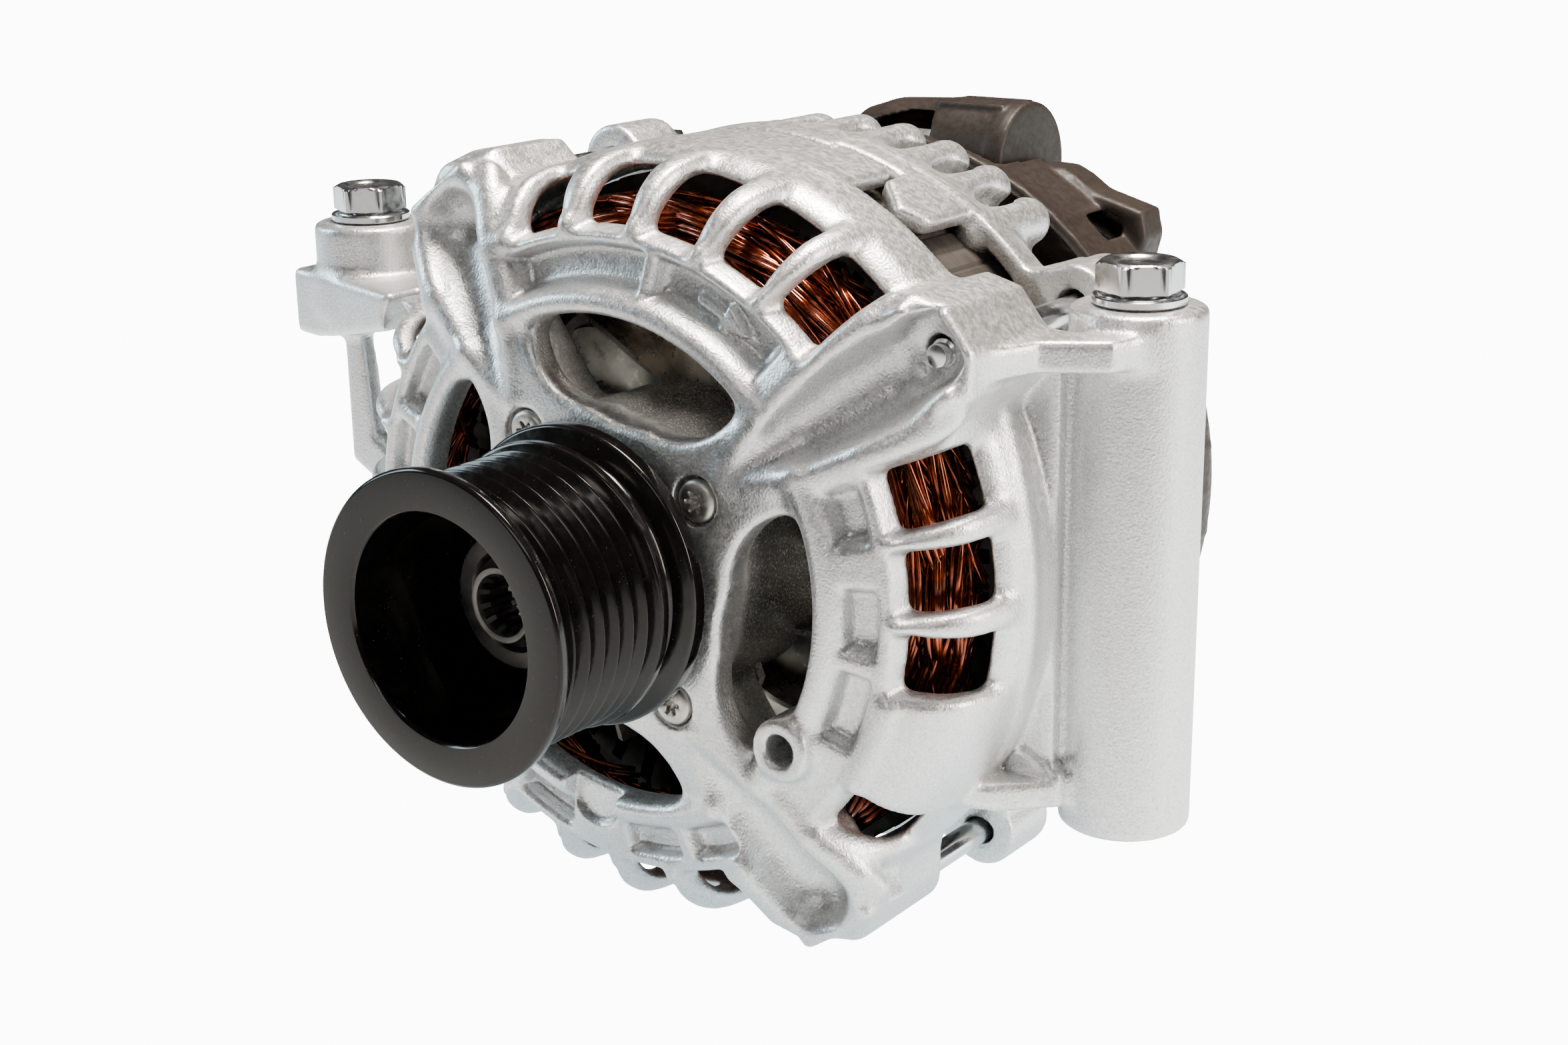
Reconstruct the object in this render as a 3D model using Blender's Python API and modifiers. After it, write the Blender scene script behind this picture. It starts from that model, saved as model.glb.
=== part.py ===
"""Car alternator as its separate pieces.

Units are metres and +Z is up. The shaft lies along Y with the pulley at the -Y end.
Inside the functions every position is given from the centre of the pulley's front face,
and the empty "shaft_frame" carries all of it to its place in the part's frame.
"""
import math

import bmesh
import bpy
from mathutils import Matrix, Vector

MM = 0.001
GAP = 0.3 * MM

# The pulley front's centre, seen from the middle of the bottom of the whole object's box.
SHAFT_PLACE = Vector((10.2 * MM, -84.0 * MM, 71.0 * MM))

# Pulley
PULLEY_R = 27.0 * MM
PULLEY_LENGTH = 36.4 * MM
PULLEY_CUP_R = 19.5 * MM
PULLEY_FLOOR_Y = 27.5 * MM
CREST_R = 24.6 * MM
GROOVE_DEPTH = 2.4 * MM
GROOVE_PITCH = 3.56 * MM
GROOVES = 6
FIRST_CREST_Y = 6.2 * MM

# Rotor
SHAFT_TIP_Y = 15.0 * MM
SHAFT_END_Y = 146.0 * MM
THREAD_R = 8.0 * MM
SEAT_R = 8.5 * MM
CLAW_R = 49.3 * MM
CLAW_FRONT_Y = 70.0 * MM
CLAW_REAR_Y = 103.0 * MM
CLAW_DISC = 9.0 * MM
CLAW_FINGERS = 6
FAN_R = 48.0 * MM
FAN_DEPTH = 8.0 * MM
SLIP_RING_R = 8.0 * MM
SLIP_RING_Y = (134.0 * MM, 141.5 * MM)
SLIP_RING_WIDTH = 5.0 * MM

# Bearings: inner radius, outer radius, first y, width, ball radius, balls
FRONT_BEARING = (SEAT_R + GAP, 23.4 * MM, 44.0 * MM, 13.6 * MM, 3.2 * MM, 6)
REAR_BEARING = (7.8 * MM, 17.2 * MM, 114.5 * MM, 11.0 * MM, 2.2 * MM, 6)

# Shields and stator
REAR_SKIRT_Y = 97.2 * MM
CORE_R = 65.5 * MM
CORE_BORE_R = 50.0 * MM
CORE_Y = (72.5 * MM, 100.5 * MM)
STATOR_SLOTS = 24
SPOKE_ANGLES = tuple(35 + 90 * k for k in range(4))
KIDNEY_OUTER_R = 43.0 * MM
SCREW_CIRCLE_R = 27.2 * MM
BOLT_CIRCLE_R = 74.5 * MM
EAR_R = 7.5 * MM
TUBE_X = 78.0 * MM
TUBE_Y = 89.5 * MM
TUBE_R = 11.6 * MM
TUBE_Z = (-46.0 * MM, 47.0 * MM)
LUG_X = -95.0 * MM
LUG_Y = 80.5 * MM
LUG_Z = (23.0 * MM, 47.0 * MM)
M8_HOLE_R = 4.3 * MM
M8_R = 3.9 * MM

# Cover and electrics
COVER_R = 66.0 * MM
COVER_Y = (127.0 * MM, 152.0 * MM)
STUD_PLACE = (-36.0 * MM, -26.0 * MM)
HOOD_Z = 59.0 * MM
HOOD_Y = 144.5 * MM
HOOD_R = 12.6 * MM

WINDOW_ANGLES = ((106, 91.5, 77.8, 63.8, 50.6)       # top, between the upper spokes
                 + (18.8, 5.8, -7.6, -39)            # right side
                 + (-73, -87, -100, -113, -127)      # bottom
                 + (196, 183, 170, 157, 144))        # left side
SKIRT_TABS = ((37, 46, 87), (61.5, 66.9, 88.4), (67.1, 76.5, 96.4), (76.7, 116, 88.2),
              (217, 226, 87), (241.5, 256.5, 88.4))
REAR_VENTS = 16
POCKETS = ((81, 112), (49, 78), (16, 27), (-6, 6), (-29, -14),
           (-72, -63), (-92, -79), (-116, -104), (146, 158), (164, 174), (180, 190))


# ------------------------------------------------------------------ scene set-up

def clear_scene():
    for obj in list(bpy.data.objects):
        bpy.data.objects.remove(obj, do_unlink=True)


def new_collection(name):
    group = bpy.data.collections.new(name)
    bpy.context.scene.collection.children.link(group)
    return group


clear_scene()
PARTS = new_collection("car_alternator")
CUTTERS = new_collection("alternator_cutters")
FRAME = bpy.data.objects.new("shaft_frame", None)
FRAME.location = SHAFT_PLACE
PARTS.objects.link(FRAME)


def material(name, colour, metallic, roughness):
    mat = bpy.data.materials.new(name)
    mat.use_nodes = True
    shader = mat.node_tree.nodes["Principled BSDF"]
    shader.inputs["Base Color"].default_value = (*colour, 1.0)
    shader.inputs["Metallic"].default_value = metallic
    shader.inputs["Roughness"].default_value = roughness
    mat.diffuse_color = (*colour, 1.0)
    return mat


CAST = material("cast_aluminium", (0.74, 0.75, 0.76), 0.9, 0.5)
BLACK_COAT = material("black_coat", (0.012, 0.012, 0.013), 0.0, 0.25)
STEEL = material("dark_steel", (0.30, 0.30, 0.31), 1.0, 0.35)
BEARING_STEEL = material("bearing_steel", (0.62, 0.62, 0.63), 1.0, 0.2)
ZINC = material("zinc_plate", (0.80, 0.81, 0.83), 1.0, 0.2)
COPPER = material("copper_winding", (0.42, 0.13, 0.05), 0.9, 0.3)
LAMINATION = material("core_lamination", (0.11, 0.10, 0.095), 0.7, 0.5)
PLASTIC = material("black_plastic", (0.035, 0.031, 0.030), 0.0, 0.55)
CARBON = material("brush_carbon", (0.06, 0.055, 0.05), 0.3, 0.6)
HEAT_SINK = material("heat_sink", (0.55, 0.56, 0.57), 0.9, 0.45)


# ------------------------------------------------------------------ building tools

def smooth(mesh, angle=35.0):
    mesh.shade_smooth()
    mesh.set_sharp_from_angle(angle=math.radians(angle))


def place(name, mesh, mat, group=None, at=(0.0, 0.0, 0.0)):
    obj = bpy.data.objects.new(name, mesh)
    (group or PARTS).objects.link(obj)
    obj.parent = FRAME
    obj.location = at
    if mat is not None:
        mesh.materials.append(mat)
    if group is CUTTERS:
        obj.hide_render = True
        obj.display_type = 'WIRE'
    return obj


def from_bmesh(name, bm, mat, group=None, at=(0.0, 0.0, 0.0)):
    bmesh.ops.recalc_face_normals(bm, faces=bm.faces)
    mesh = bpy.data.meshes.new(name)
    bm.to_mesh(mesh)
    bm.free()
    smooth(mesh)
    return place(name, mesh, mat, group, at)


def turned(name, profile, mat, steps, ring=False, group=None):
    """Solid of revolution about the shaft. The profile holds (radius, y) and runs from the
    front to the rear along its outer side; a ring's profile is closed back to its start."""
    mesh = bpy.data.meshes.new(name)
    verts = [(radius, 0.0, -y) for radius, y in profile]
    edges = [(i, i + 1) for i in range(len(verts) - 1)]
    if ring:
        edges.append((len(verts) - 1, 0))
    mesh.from_pydata(verts, edges, [])
    obj = place(name, mesh, mat, group)
    obj.rotation_euler = (math.pi / 2, 0.0, 0.0)
    screw = obj.modifiers.new("turn", 'SCREW')
    screw.axis = 'Z'
    screw.steps = steps
    screw.render_steps = steps
    screw.use_merge_vertices = True
    screw.merge_threshold = 0.00001
    screw.use_smooth_shade = True
    return obj


def add_cylinder(bm, start, end, radius, segments=20, end_radius=None):
    """Cylinder or cone between two points, added to an open bmesh."""
    start, end = Vector(start), Vector(end)
    along = end - start
    turn = along.to_track_quat('Z', 'Y').to_matrix().to_4x4()
    matrix = Matrix.Translation((start + end) / 2) @ turn
    bmesh.ops.create_cone(bm, cap_ends=True, segments=segments, radius1=radius,
                          radius2=radius if end_radius is None else end_radius,
                          depth=along.length, matrix=matrix)


def add_box(bm, low, high):
    low, high = Vector(low), Vector(high)
    matrix = Matrix.Translation((low + high) / 2) @ Matrix.Diagonal((*(high - low), 1.0))
    bmesh.ops.create_cube(bm, size=1.0, matrix=matrix)


def add_prism(bm, outline, low, high, axis='Y'):
    """Flat outline carried from low to high along Y (outline in x, z) or Z (outline in x, y)."""
    def point(a, b, height):
        return (a, height, b) if axis == 'Y' else (a, b, height)
    base = bm.faces.new([bm.verts.new(point(a, b, low)) for a, b in outline])
    lifted = bmesh.ops.extrude_face_region(bm, geom=[base])["geom"]
    shift = point(0.0, 0.0, high - low)
    bmesh.ops.translate(bm, vec=shift, verts=[v for v in lifted if isinstance(v, bmesh.types.BMVert)])


def polar(radius, degrees):
    turn = math.radians(degrees)
    return radius * math.cos(turn), radius * math.sin(turn)


def arc(radius, first, last, points, centre=(0.0, 0.0)):
    step = (last - first) / (points - 1)
    return [(centre[0] + x, centre[1] + z)
            for x, z in (polar(radius, first + step * i) for i in range(points))]


def sector(r0, r1, first, last, points):
    """Outline of a piece of a flat ring."""
    return arc(r1, first, last, points) + arc(r0, last, first, points)


def add_loft(bm, sections):
    """Skin over sections of equal point count, closed at both ends."""
    loops = [[bm.verts.new(p) for p in section] for section in sections]
    for one, two in zip(loops, loops[1:]):
        for i in range(len(one)):
            j = (i + 1) % len(one)
            bm.faces.new((one[i], one[j], two[j], two[i]))
    bm.faces.new(loops[0])
    bm.faces.new(loops[-1])


def add_beam(bm, degrees, stations):
    """Radial beam; each station is (radius, half width, front y, rear y)."""
    out_x, out_z = polar(1.0, degrees)
    sections = []
    for radius, half, front, rear in stations:
        corners = ((half, front), (half, rear), (-half, rear), (-half, front))
        sections.append([(radius * out_x - side * out_z, y, radius * out_z + side * out_x)
                         for side, y in corners])
    add_loft(bm, sections)


def add_ring_piece(bm, degrees, stations, points=3):
    """Piece of a ring lofted along Y; each station is (y, inner radius, outer radius, half angle)."""
    sections = []
    for y, r0, r1, half in stations:
        outline = sector(r0, r1, degrees - half, degrees + half, points)
        sections.append([(x, y, z) for x, z in outline])
    add_loft(bm, sections)


def boolean(target, tool, operation):
    mod = target.modifiers.new(tool.name, 'BOOLEAN')
    mod.operation = operation
    mod.solver = 'EXACT'
    mod.object = tool


def cut(target, name, build):
    """Cuts target with the solid that build adds to a bmesh."""
    bm = bmesh.new()
    build(bm)
    boolean(target, from_bmesh(name, bm, None, CUTTERS), 'DIFFERENCE')


def join(target, name, build):
    bm = bmesh.new()
    build(bm)
    boolean(target, from_bmesh(name, bm, None, CUTTERS), 'UNION')


def solid(name, mat, build, at=(0.0, 0.0, 0.0)):
    bm = bmesh.new()
    build(bm)
    return from_bmesh(name, bm, mat, at=at)


def hexagon(across_flats, turn=0.0):
    return [polar(across_flats / math.sqrt(3.0), turn + 60 * k) for k in range(6)]


# ------------------------------------------------------------------ drive-end shield

def kidney_outline(middle):
    """Air window between the hub and the face's outer band, in the quarter around middle."""
    hub = [(33.5, 34.5), (24, 28.8), (12, 27.4), (0, 27.2), (-12, 27.4), (-24, 28.8), (-33.5, 34.5)]
    inner = [polar(radius * MM, middle + turn) for turn, radius in hub]
    rim = arc(KIDNEY_OUTER_R, middle - 32, middle + 32, 7)
    low_corner = [polar(40.5 * MM, middle - 34.5)]
    high_corner = [polar(40.5 * MM, middle + 34.5)]
    return low_corner + rim + high_corner + inner


def ridge_stations():
    """Raised ends of a spoke, over the shoulder and out to the ear that holds the through-bolt."""
    return [(58 * MM, 8.6 * MM, 44.0 * MM, 47.5 * MM),
            (66 * MM, 9.8 * MM, 45.4 * MM, 52 * MM),
            (75 * MM, 9.4 * MM, 48.6 * MM, 66 * MM),
            (80 * MM, 6.0 * MM, 52.0 * MM, 66 * MM)]


def trough_stations():
    """Hollow running down the front of a spoke."""
    top = 30 * MM
    return [(33 * MM, 0.4 * MM, top, 40.3 * MM),
            (40 * MM, 3.0 * MM, top, 43.2 * MM),
            (60 * MM, 6.2 * MM, top, 49.6 * MM),
            (70 * MM, 6.8 * MM, top, 54.5 * MM),
            (77 * MM, 6.2 * MM, top, 55.0 * MM)]


def ear_outline(degrees, inner_r):
    out_x, out_z = polar(1.0, degrees)
    rounded = [(inner_r, 9.5 * MM)]
    rounded += [(BOLT_CIRCLE_R + a, b) for a, b in arc(EAR_R, 75, -75, 6)]
    rounded += [(inner_r, -9.5 * MM)]
    return [(u * out_x - v * out_z, u * out_z + v * out_x) for u, v in rounded]


def drive_end_shield():
    block = [(16.0, 39.0), (30.0, 39.0), (60.0, 45.0), (66.0, 47.8), (69.6, 52.2), (71.0, 58.0),
             (71.0, 77.0), (40.0, 77.0), (40.0, 58.0), (23.7, 58.0), (23.7, 43.6), (16.0, 43.6)]
    shield = turned("drive_end_shield", [(r * MM, y * MM) for r, y in block], CAST, 40, ring=True)

    def ears(bm):
        for degrees in SPOKE_ANGLES:
            add_prism(bm, ear_outline(degrees, 66.5 * MM), 52.6 * MM, 76.9 * MM)
    join(shield, "front_ears", ears)

    def ridges(bm):
        for degrees in SPOKE_ANGLES:
            add_beam(bm, degrees, ridge_stations())
    join(shield, "front_ridges", ridges)

    def skirt_tabs(bm):
        for first, last, rear in SKIRT_TABS:
            add_prism(bm, sector(66.4 * MM, 70.6 * MM, first, last, 3 + int((last - first) / 9)),
                      74 * MM, rear * MM)
    join(shield, "front_skirt_tabs", skirt_tabs)

    def right_bracket(bm):
        add_box(bm, (65 * MM, 63.9 * MM, -37.9 * MM), (71.6 * MM, 87.9 * MM, 39.9 * MM))
    join(shield, "right_web", right_bracket)

    def right_arms(bm):
        upper = [(58, 57.3), (68.5, 57.3), (75.5, 78.3), (86, 84), (84, 97), (62, 92)]
        lower = [(57, 60), (66, 60), (73.5, 77.6), (86, 84), (84, 97), (60, 92)]
        add_prism(bm, [(x * MM, y * MM) for x, y in upper], 38 * MM, 44 * MM, 'Z')
        add_prism(bm, [(x * MM, y * MM) for x, y in lower], -42.5 * MM, -36.5 * MM, 'Z')
    join(shield, "right_arms", right_arms)

    def tube(bm):
        add_cylinder(bm, (TUBE_X, TUBE_Y, TUBE_Z[0]), (TUBE_X, TUBE_Y, TUBE_Z[1]), TUBE_R, 24)
    join(shield, "bolt_tube", tube)

    def lug(bm):
        outline = [(-110, 71), (-96, 67.7), (-58, 57.2), (-58, 82), (-86, 91.5), (-110, 89)]
        add_prism(bm, [(x * MM, y * MM) for x, y in outline], LUG_Z[0], 37 * MM, 'Z')
    join(shield, "left_lug", lug)

    def lug_boss(bm):
        add_cylinder(bm, (LUG_X, LUG_Y, 30 * MM), (LUG_X, LUG_Y, LUG_Z[1]), TUBE_R, 24)
    join(shield, "left_boss", lug_boss)

    def lug_strut(bm):
        strut = [(-98, 24), (-92, 24), (-90, 2), (-67, -12), (-67, -20), (-98, -2)]
        add_prism(bm, [(x * MM, z * MM) for x, z in strut], 72.6 * MM, 77.6 * MM)
    join(shield, "left_strut", lug_strut)

    cavity = [(28.0, 45.6), (57.0, 50.0), (65.4, 54.5), (67.2, 59.0), (67.2, 72.0), (65.9, 72.2),
              (65.9, 130.0), (28.0, 130.0)]
    boolean(shield, turned("front_cavity", [(r * MM, y * MM) for r, y in cavity], None, 40,
                           ring=True, group=CUTTERS), 'DIFFERENCE')

    def inner_ribs(bm):
        for degrees in SPOKE_ANGLES:
            add_beam(bm, degrees, [(25.5 * MM, 6.4 * MM, 44.4 * MM, 57 * MM),
                                   (48 * MM, 6.4 * MM, 45.2 * MM, 57 * MM)])
    join(shield, "inner_ribs", inner_ribs)

    def kidneys(bm):
        for degrees in SPOKE_ANGLES:
            add_prism(bm, kidney_outline(degrees + 45), 30 * MM, 70 * MM)
    cut(shield, "kidney_windows", kidneys)

    def threaded_boss(bm):
        add_cylinder(bm, (38.8 * MM, 39.4 * MM, -25.6 * MM), (38.8 * MM, 53 * MM, -25.6 * MM),
                     5.6 * MM, 14)
    join(shield, "threaded_boss", threaded_boss)

    def troughs(bm):
        for degrees in SPOKE_ANGLES:
            add_beam(bm, degrees, trough_stations())
    cut(shield, "spoke_troughs", troughs)

    def windows(bm):
        for degrees in WINDOW_ANGLES:
            add_beam(bm, degrees, [(60.5 * MM, 3.9 * MM, 30 * MM, 58 * MM),
                                   (71.3 * MM, 4.6 * MM, 30 * MM, 59.5 * MM)])
    cut(shield, "side_windows", windows)

    def pockets(bm):
        for first, last in POCKETS:
            points = 2 + int((last - first) / 9)
            add_prism(bm, sector(47.5 * MM, 56.5 * MM, first, last, points), 30 * MM, 46.0 * MM)
    cut(shield, "face_pockets", pockets)

    def screw_seats(bm):
        for degrees in SPOKE_ANGLES:
            x, z = polar(SCREW_CIRCLE_R, degrees)
            add_cylinder(bm, (x, 35 * MM, z), (x, 41.5 * MM, z), 4.2 * MM, 9)
    cut(shield, "screw_seats", screw_seats)

    def holes(bm):
        for degrees in SPOKE_ANGLES:
            x, z = polar(SCREW_CIRCLE_R, degrees)
            add_cylinder(bm, (x, 36 * MM, z), (x, 64 * MM, z), 2.3 * MM, 6)
            x, z = polar(BOLT_CIRCLE_R, degrees)
            add_cylinder(bm, (x, 50 * MM, z), (x, 99 * MM, z), 2.9 * MM, 8)
        add_cylinder(bm, (38.8 * MM, 36 * MM, -25.6 * MM), (38.8 * MM, 56 * MM, -25.6 * MM),
                     2.9 * MM, 12)
        add_cylinder(bm, (TUBE_X, TUBE_Y, -60 * MM), (TUBE_X, TUBE_Y, 60 * MM), M8_HOLE_R, 12)
        add_cylinder(bm, (LUG_X, LUG_Y, 10 * MM), (LUG_X, LUG_Y, 60 * MM), M8_HOLE_R, 12)
    cut(shield, "front_holes", holes)


# ------------------------------------------------------------------ slip-ring-end shield

def slip_ring_end_shield():
    block = [(17.5, 112.0), (40.0, 112.0), (40.0, 97.2), (70.6, 97.2), (71.0, 112.0), (69.0, 120.0),
             (62.0, 125.9), (50.0, 126.5), (21.5, 126.5), (21.5, 128.5), (9.5, 128.5), (9.5, 126.2),
             (17.5, 126.2)]
    shield = turned("slip_ring_end_shield", [(r * MM, y * MM) for r, y in block], CAST, 40, ring=True)

    def ears(bm):
        for degrees in SPOKE_ANGLES:
            add_prism(bm, ear_outline(degrees, 66.9 * MM), REAR_SKIRT_Y + 0.1 * MM, 111.5 * MM)
    join(shield, "rear_ears", ears)

    def skirt_tabs(bm):
        for first, last, front in ((48, 61, 89.2), (77.2, 116, 88.8), (228, 241, 89.2)):
            add_prism(bm, sector(66.4 * MM, 70.2 * MM, first, last, 3 + int((last - first) / 9)),
                      front * MM, 99 * MM)
    join(shield, "rear_skirt_tabs", skirt_tabs)

    cavity = [(21.5, 80.0), (65.9, 80.0), (65.9, 101.2), (66.6, 101.4), (66.6, 113.5), (60.0, 119.0),
              (21.5, 122.0)]
    boolean(shield, turned("rear_cavity", [(r * MM, y * MM) for r, y in cavity], None, 40,
                           ring=True, group=CUTTERS), 'DIFFERENCE')

    def vents(bm):
        for k in range(REAR_VENTS):
            degrees = 68 + 360 / REAR_VENTS * k
            add_beam(bm, degrees, [(61 * MM, 4.0 * MM, 106 * MM, 132 * MM),
                                   (76 * MM, 5.0 * MM, 106 * MM, 132 * MM)])
        for k in range(6):
            middle = 5 + 60 * k
            add_prism(bm, sector(26 * MM, 52 * MM, middle - 22, middle + 22, 5), 108 * MM, 132 * MM)
    cut(shield, "rear_vents", vents)

    def clearances(bm):
        add_cylinder(bm, (TUBE_X, TUBE_Y, -48 * MM), (TUBE_X, TUBE_Y, 49 * MM), TUBE_R + 0.6 * MM, 24)
        for degrees in SPOKE_ANGLES:
            x, z = polar(BOLT_CIRCLE_R, degrees)
            add_cylinder(bm, (x, 90 * MM, z), (x, 114 * MM, z), 2.9 * MM, 8)
    cut(shield, "rear_clearances", clearances)

    def head_seats(bm):
        for degrees in SPOKE_ANGLES:
            x, z = polar(BOLT_CIRCLE_R, degrees)
            add_cylinder(bm, (x, 111.6 * MM, z), (x, 124 * MM, z), 5.3 * MM, 9)
    cut(shield, "bolt_head_seats", head_seats)


# ------------------------------------------------------------------ stator

def stator():
    core = turned("stator_core", [(CORE_BORE_R, CORE_Y[0]), (CORE_R, CORE_Y[0]), (CORE_R, CORE_Y[1]),
                                  (CORE_BORE_R, CORE_Y[1])], LAMINATION, 40, ring=True)

    def slots(bm):
        for k in range(STATOR_SLOTS):
            add_beam(bm, 360 / STATOR_SLOTS * k + 2.5, [(48 * MM, 1.7 * MM, 70 * MM, 104 * MM),
                                                      (60 * MM, 2.3 * MM, 70 * MM, 104 * MM)])
    cut(core, "stator_slots", slots)
    front = [(51.6, 60.0), (54.5, 54.4), (60.0, 54.4), (62.4, 60.0), (61.6, 72.0), (52.2, 72.0)]
    turned("winding_front", [(r * MM, y * MM) for r, y in front], COPPER, 32, ring=True)
    rear = [(52.2, 101.0), (61.6, 101.0), (62.4, 111.0), (58.0, 116.5), (51.6, 112.0)]
    turned("winding_rear", [(r * MM, y * MM) for r, y in rear], COPPER, 32, ring=True)


# ------------------------------------------------------------------ rotor

def rotor_shaft():
    profile = [(0.0, 24.0), (3.8, 23.4), (4.4, SHAFT_TIP_Y / MM), (6.8, SHAFT_TIP_Y / MM), (8.0, 16.4),
               (8.0, 28.0), (8.5, 28.6), (8.5, 60.0), (10.0, 60.2), (10.0, 112.0), (7.5, 112.3),
               (7.5, 129.0), (5.0, 129.4), (5.0, SHAFT_END_Y / MM), (0.0, SHAFT_END_Y / MM)]
    turned("rotor_shaft", [(r * MM, y * MM) for r, y in profile], STEEL, 18)


def claw_pole(name, root_y, inward, first_angle):
    """Half of the rotor: a disc on the shaft with six pole fingers reaching over the coil."""
    def at(depth):
        return root_y + inward * depth
    hub = [(10.3 * MM, at(0)), (36 * MM, at(0)), (36 * MM, at(CLAW_DISC)), (16.4 * MM, at(CLAW_DISC)),
           (16.4 * MM, at(16.2 * MM)), (10.3 * MM, at(16.2 * MM))]
    if inward < 0:
        hub.reverse()
    claw = turned(name, hub, STEEL, 24, ring=True)

    def fingers(bm):
        for k in range(CLAW_FINGERS):
            add_ring_piece(bm, first_angle + 60 * k,
                           [(at(0.4 * MM), 30 * MM, CLAW_R - 1.5 * MM, 19.5),
                            (at(2.5 * MM), 30 * MM, CLAW_R, 19),
                            (at(8.6 * MM), 33 * MM, CLAW_R, 17.5),
                            (at(29 * MM), 45 * MM, CLAW_R, 7.5)])
    join(claw, name + "_fingers", fingers)


def fan(name, disc_y, forward):
    """Pressed steel fan with blades that stand away from the rotor."""
    low, high = sorted((disc_y, disc_y - forward * 1.2 * MM))
    disc = turned(name, [(10.3 * MM, low), (FAN_R - 3 * MM, low), (FAN_R - 3 * MM, high), (10.3 * MM, high)],
                  STEEL, 24, ring=True)

    def blades(bm):
        tip = disc_y - forward * FAN_DEPTH
        front, rear = sorted((tip, disc_y - forward * 0.6 * MM))
        for k in range(9):
            degrees = 360 / 9 * k
            foot = Vector((*polar(30 * MM, degrees), 0))
            end = Vector((*polar(FAN_R - 1 * MM, degrees + 26 * forward), 0))
            side = (end - foot).cross(Vector((0, 0, 1))).normalized() * 0.7 * MM
            corners = [foot + side, end + side, end - side, foot - side]
            add_prism(bm, [(c.x, c.y) for c in corners], front, rear)
    join(disc, name + "_blades", blades)


def bearing(prefix, spec):
    """Ball bearing as outer ring, inner ring, and the balls in their cage."""
    inner, outer, first, width, ball, count = spec
    last = first + width
    pitch = (inner + outer) / 2
    race = ball + 0.35 * MM
    chamfer = 0.6 * MM
    turned(prefix + "_bearing_outer_ring",
           [(pitch + race, first), (outer - chamfer, first), (outer, first + chamfer),
            (outer, last - chamfer), (outer - chamfer, last), (pitch + race, last)],
           BEARING_STEEL, 16, ring=True)
    turned(prefix + "_bearing_inner_ring",
           [(inner, first), (pitch - race, first), (pitch - race, last), (inner, last)],
           BEARING_STEEL, 16, ring=True)
    middle = (first + last) / 2
    half_r, half_w = ball * 0.34, ball * 0.42
    cage = turned(prefix + "_bearing_ball_cage",
                  [(pitch - half_r, middle - half_w), (pitch + half_r, middle - half_w),
                   (pitch + half_r, middle + half_w), (pitch - half_r, middle + half_w)],
                  BEARING_STEEL, 16, ring=True)

    def balls(bm):
        for k in range(count):
            x, z = polar(pitch, 360 / count * k + 5)
            bmesh.ops.create_uvsphere(bm, u_segments=6, v_segments=4, radius=ball,
                                      matrix=Matrix.Translation((x, middle, z)))
    join(cage, prefix + "_balls", balls)


def slip_rings():
    hub = [(5.3, 130.5), (7.0, 130.5), (7.0, 145.0), (5.3, 145.0)]
    turned("slip_ring_hub", [(r * MM, y * MM) for r, y in hub], PLASTIC, 18, ring=True)
    for name, y in zip(("slip_ring_inner", "slip_ring_outer"), SLIP_RING_Y):
        low, high = y - SLIP_RING_WIDTH / 2, y + SLIP_RING_WIDTH / 2
        turned(name, [(7.3 * MM, low), (SLIP_RING_R, low), (SLIP_RING_R, high), (7.3 * MM, high)],
               COPPER, 20, ring=True)


def rotor():
    rotor_shaft()
    claw_pole("rotor_claw_front", CLAW_FRONT_Y, 1, 0)
    claw_pole("rotor_claw_rear", CLAW_REAR_Y, -1, 30)
    coil = [(16.8, 79.4), (29.5, 79.4), (29.5, 93.6), (16.8, 93.6)]
    turned("field_coil", [(r * MM, y * MM) for r, y in coil], COPPER, 28, ring=True)
    fan("front_fan", CLAW_FRONT_Y - GAP, 1)
    fan("rear_fan", CLAW_REAR_Y + GAP, -1)
    spacer = [(8.8, 36.7), (12.0, 36.7), (12.0, 43.7), (8.8, 43.7)]
    turned("pulley_spacer", [(r * MM, y * MM) for r, y in spacer], STEEL, 16, ring=True)
    slip_rings()


def pulley():
    half = GROOVE_PITCH / 2
    outer = [(8.8 * MM, PULLEY_FLOOR_Y), (PULLEY_CUP_R - 1.2 * MM, PULLEY_FLOOR_Y),
             (PULLEY_CUP_R, PULLEY_FLOOR_Y - 2 * MM), (PULLEY_CUP_R, 0.6 * MM),
             (PULLEY_CUP_R + 0.5 * MM, 0.0), (PULLEY_R - 0.6 * MM, 0.0), (PULLEY_R, 0.6 * MM),
             (PULLEY_R, 2.0 * MM), (CREST_R - GROOVE_DEPTH, FIRST_CREST_Y - half)]
    for k in range(GROOVES):
        crest = FIRST_CREST_Y + GROOVE_PITCH * k
        outer += [(CREST_R, crest), (CREST_R - GROOVE_DEPTH, crest + half)]
    outer += [(26.6 * MM, 27.0 * MM), (26.6 * MM, 27.8 * MM), (23.6 * MM, 29.0 * MM), (23.6 * MM, 31.0 * MM),
              (26.2 * MM, 33.6 * MM), (26.2 * MM, PULLEY_LENGTH), (8.8 * MM, PULLEY_LENGTH)]
    turned("pulley", outer, BLACK_COAT, 28, ring=True)
    nut = solid("pulley_nut", STEEL, lambda bm: add_prism(bm, hexagon(24 * MM, 10), 17.6 * MM, 27.1 * MM))
    cut(nut, "pulley_nut_hole", lambda bm: add_cylinder(bm, (0, 10 * MM, 0), (0, 30 * MM, 0),
                                                        THREAD_R + GAP, 24))


# ------------------------------------------------------------------ retainer and fasteners

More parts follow.
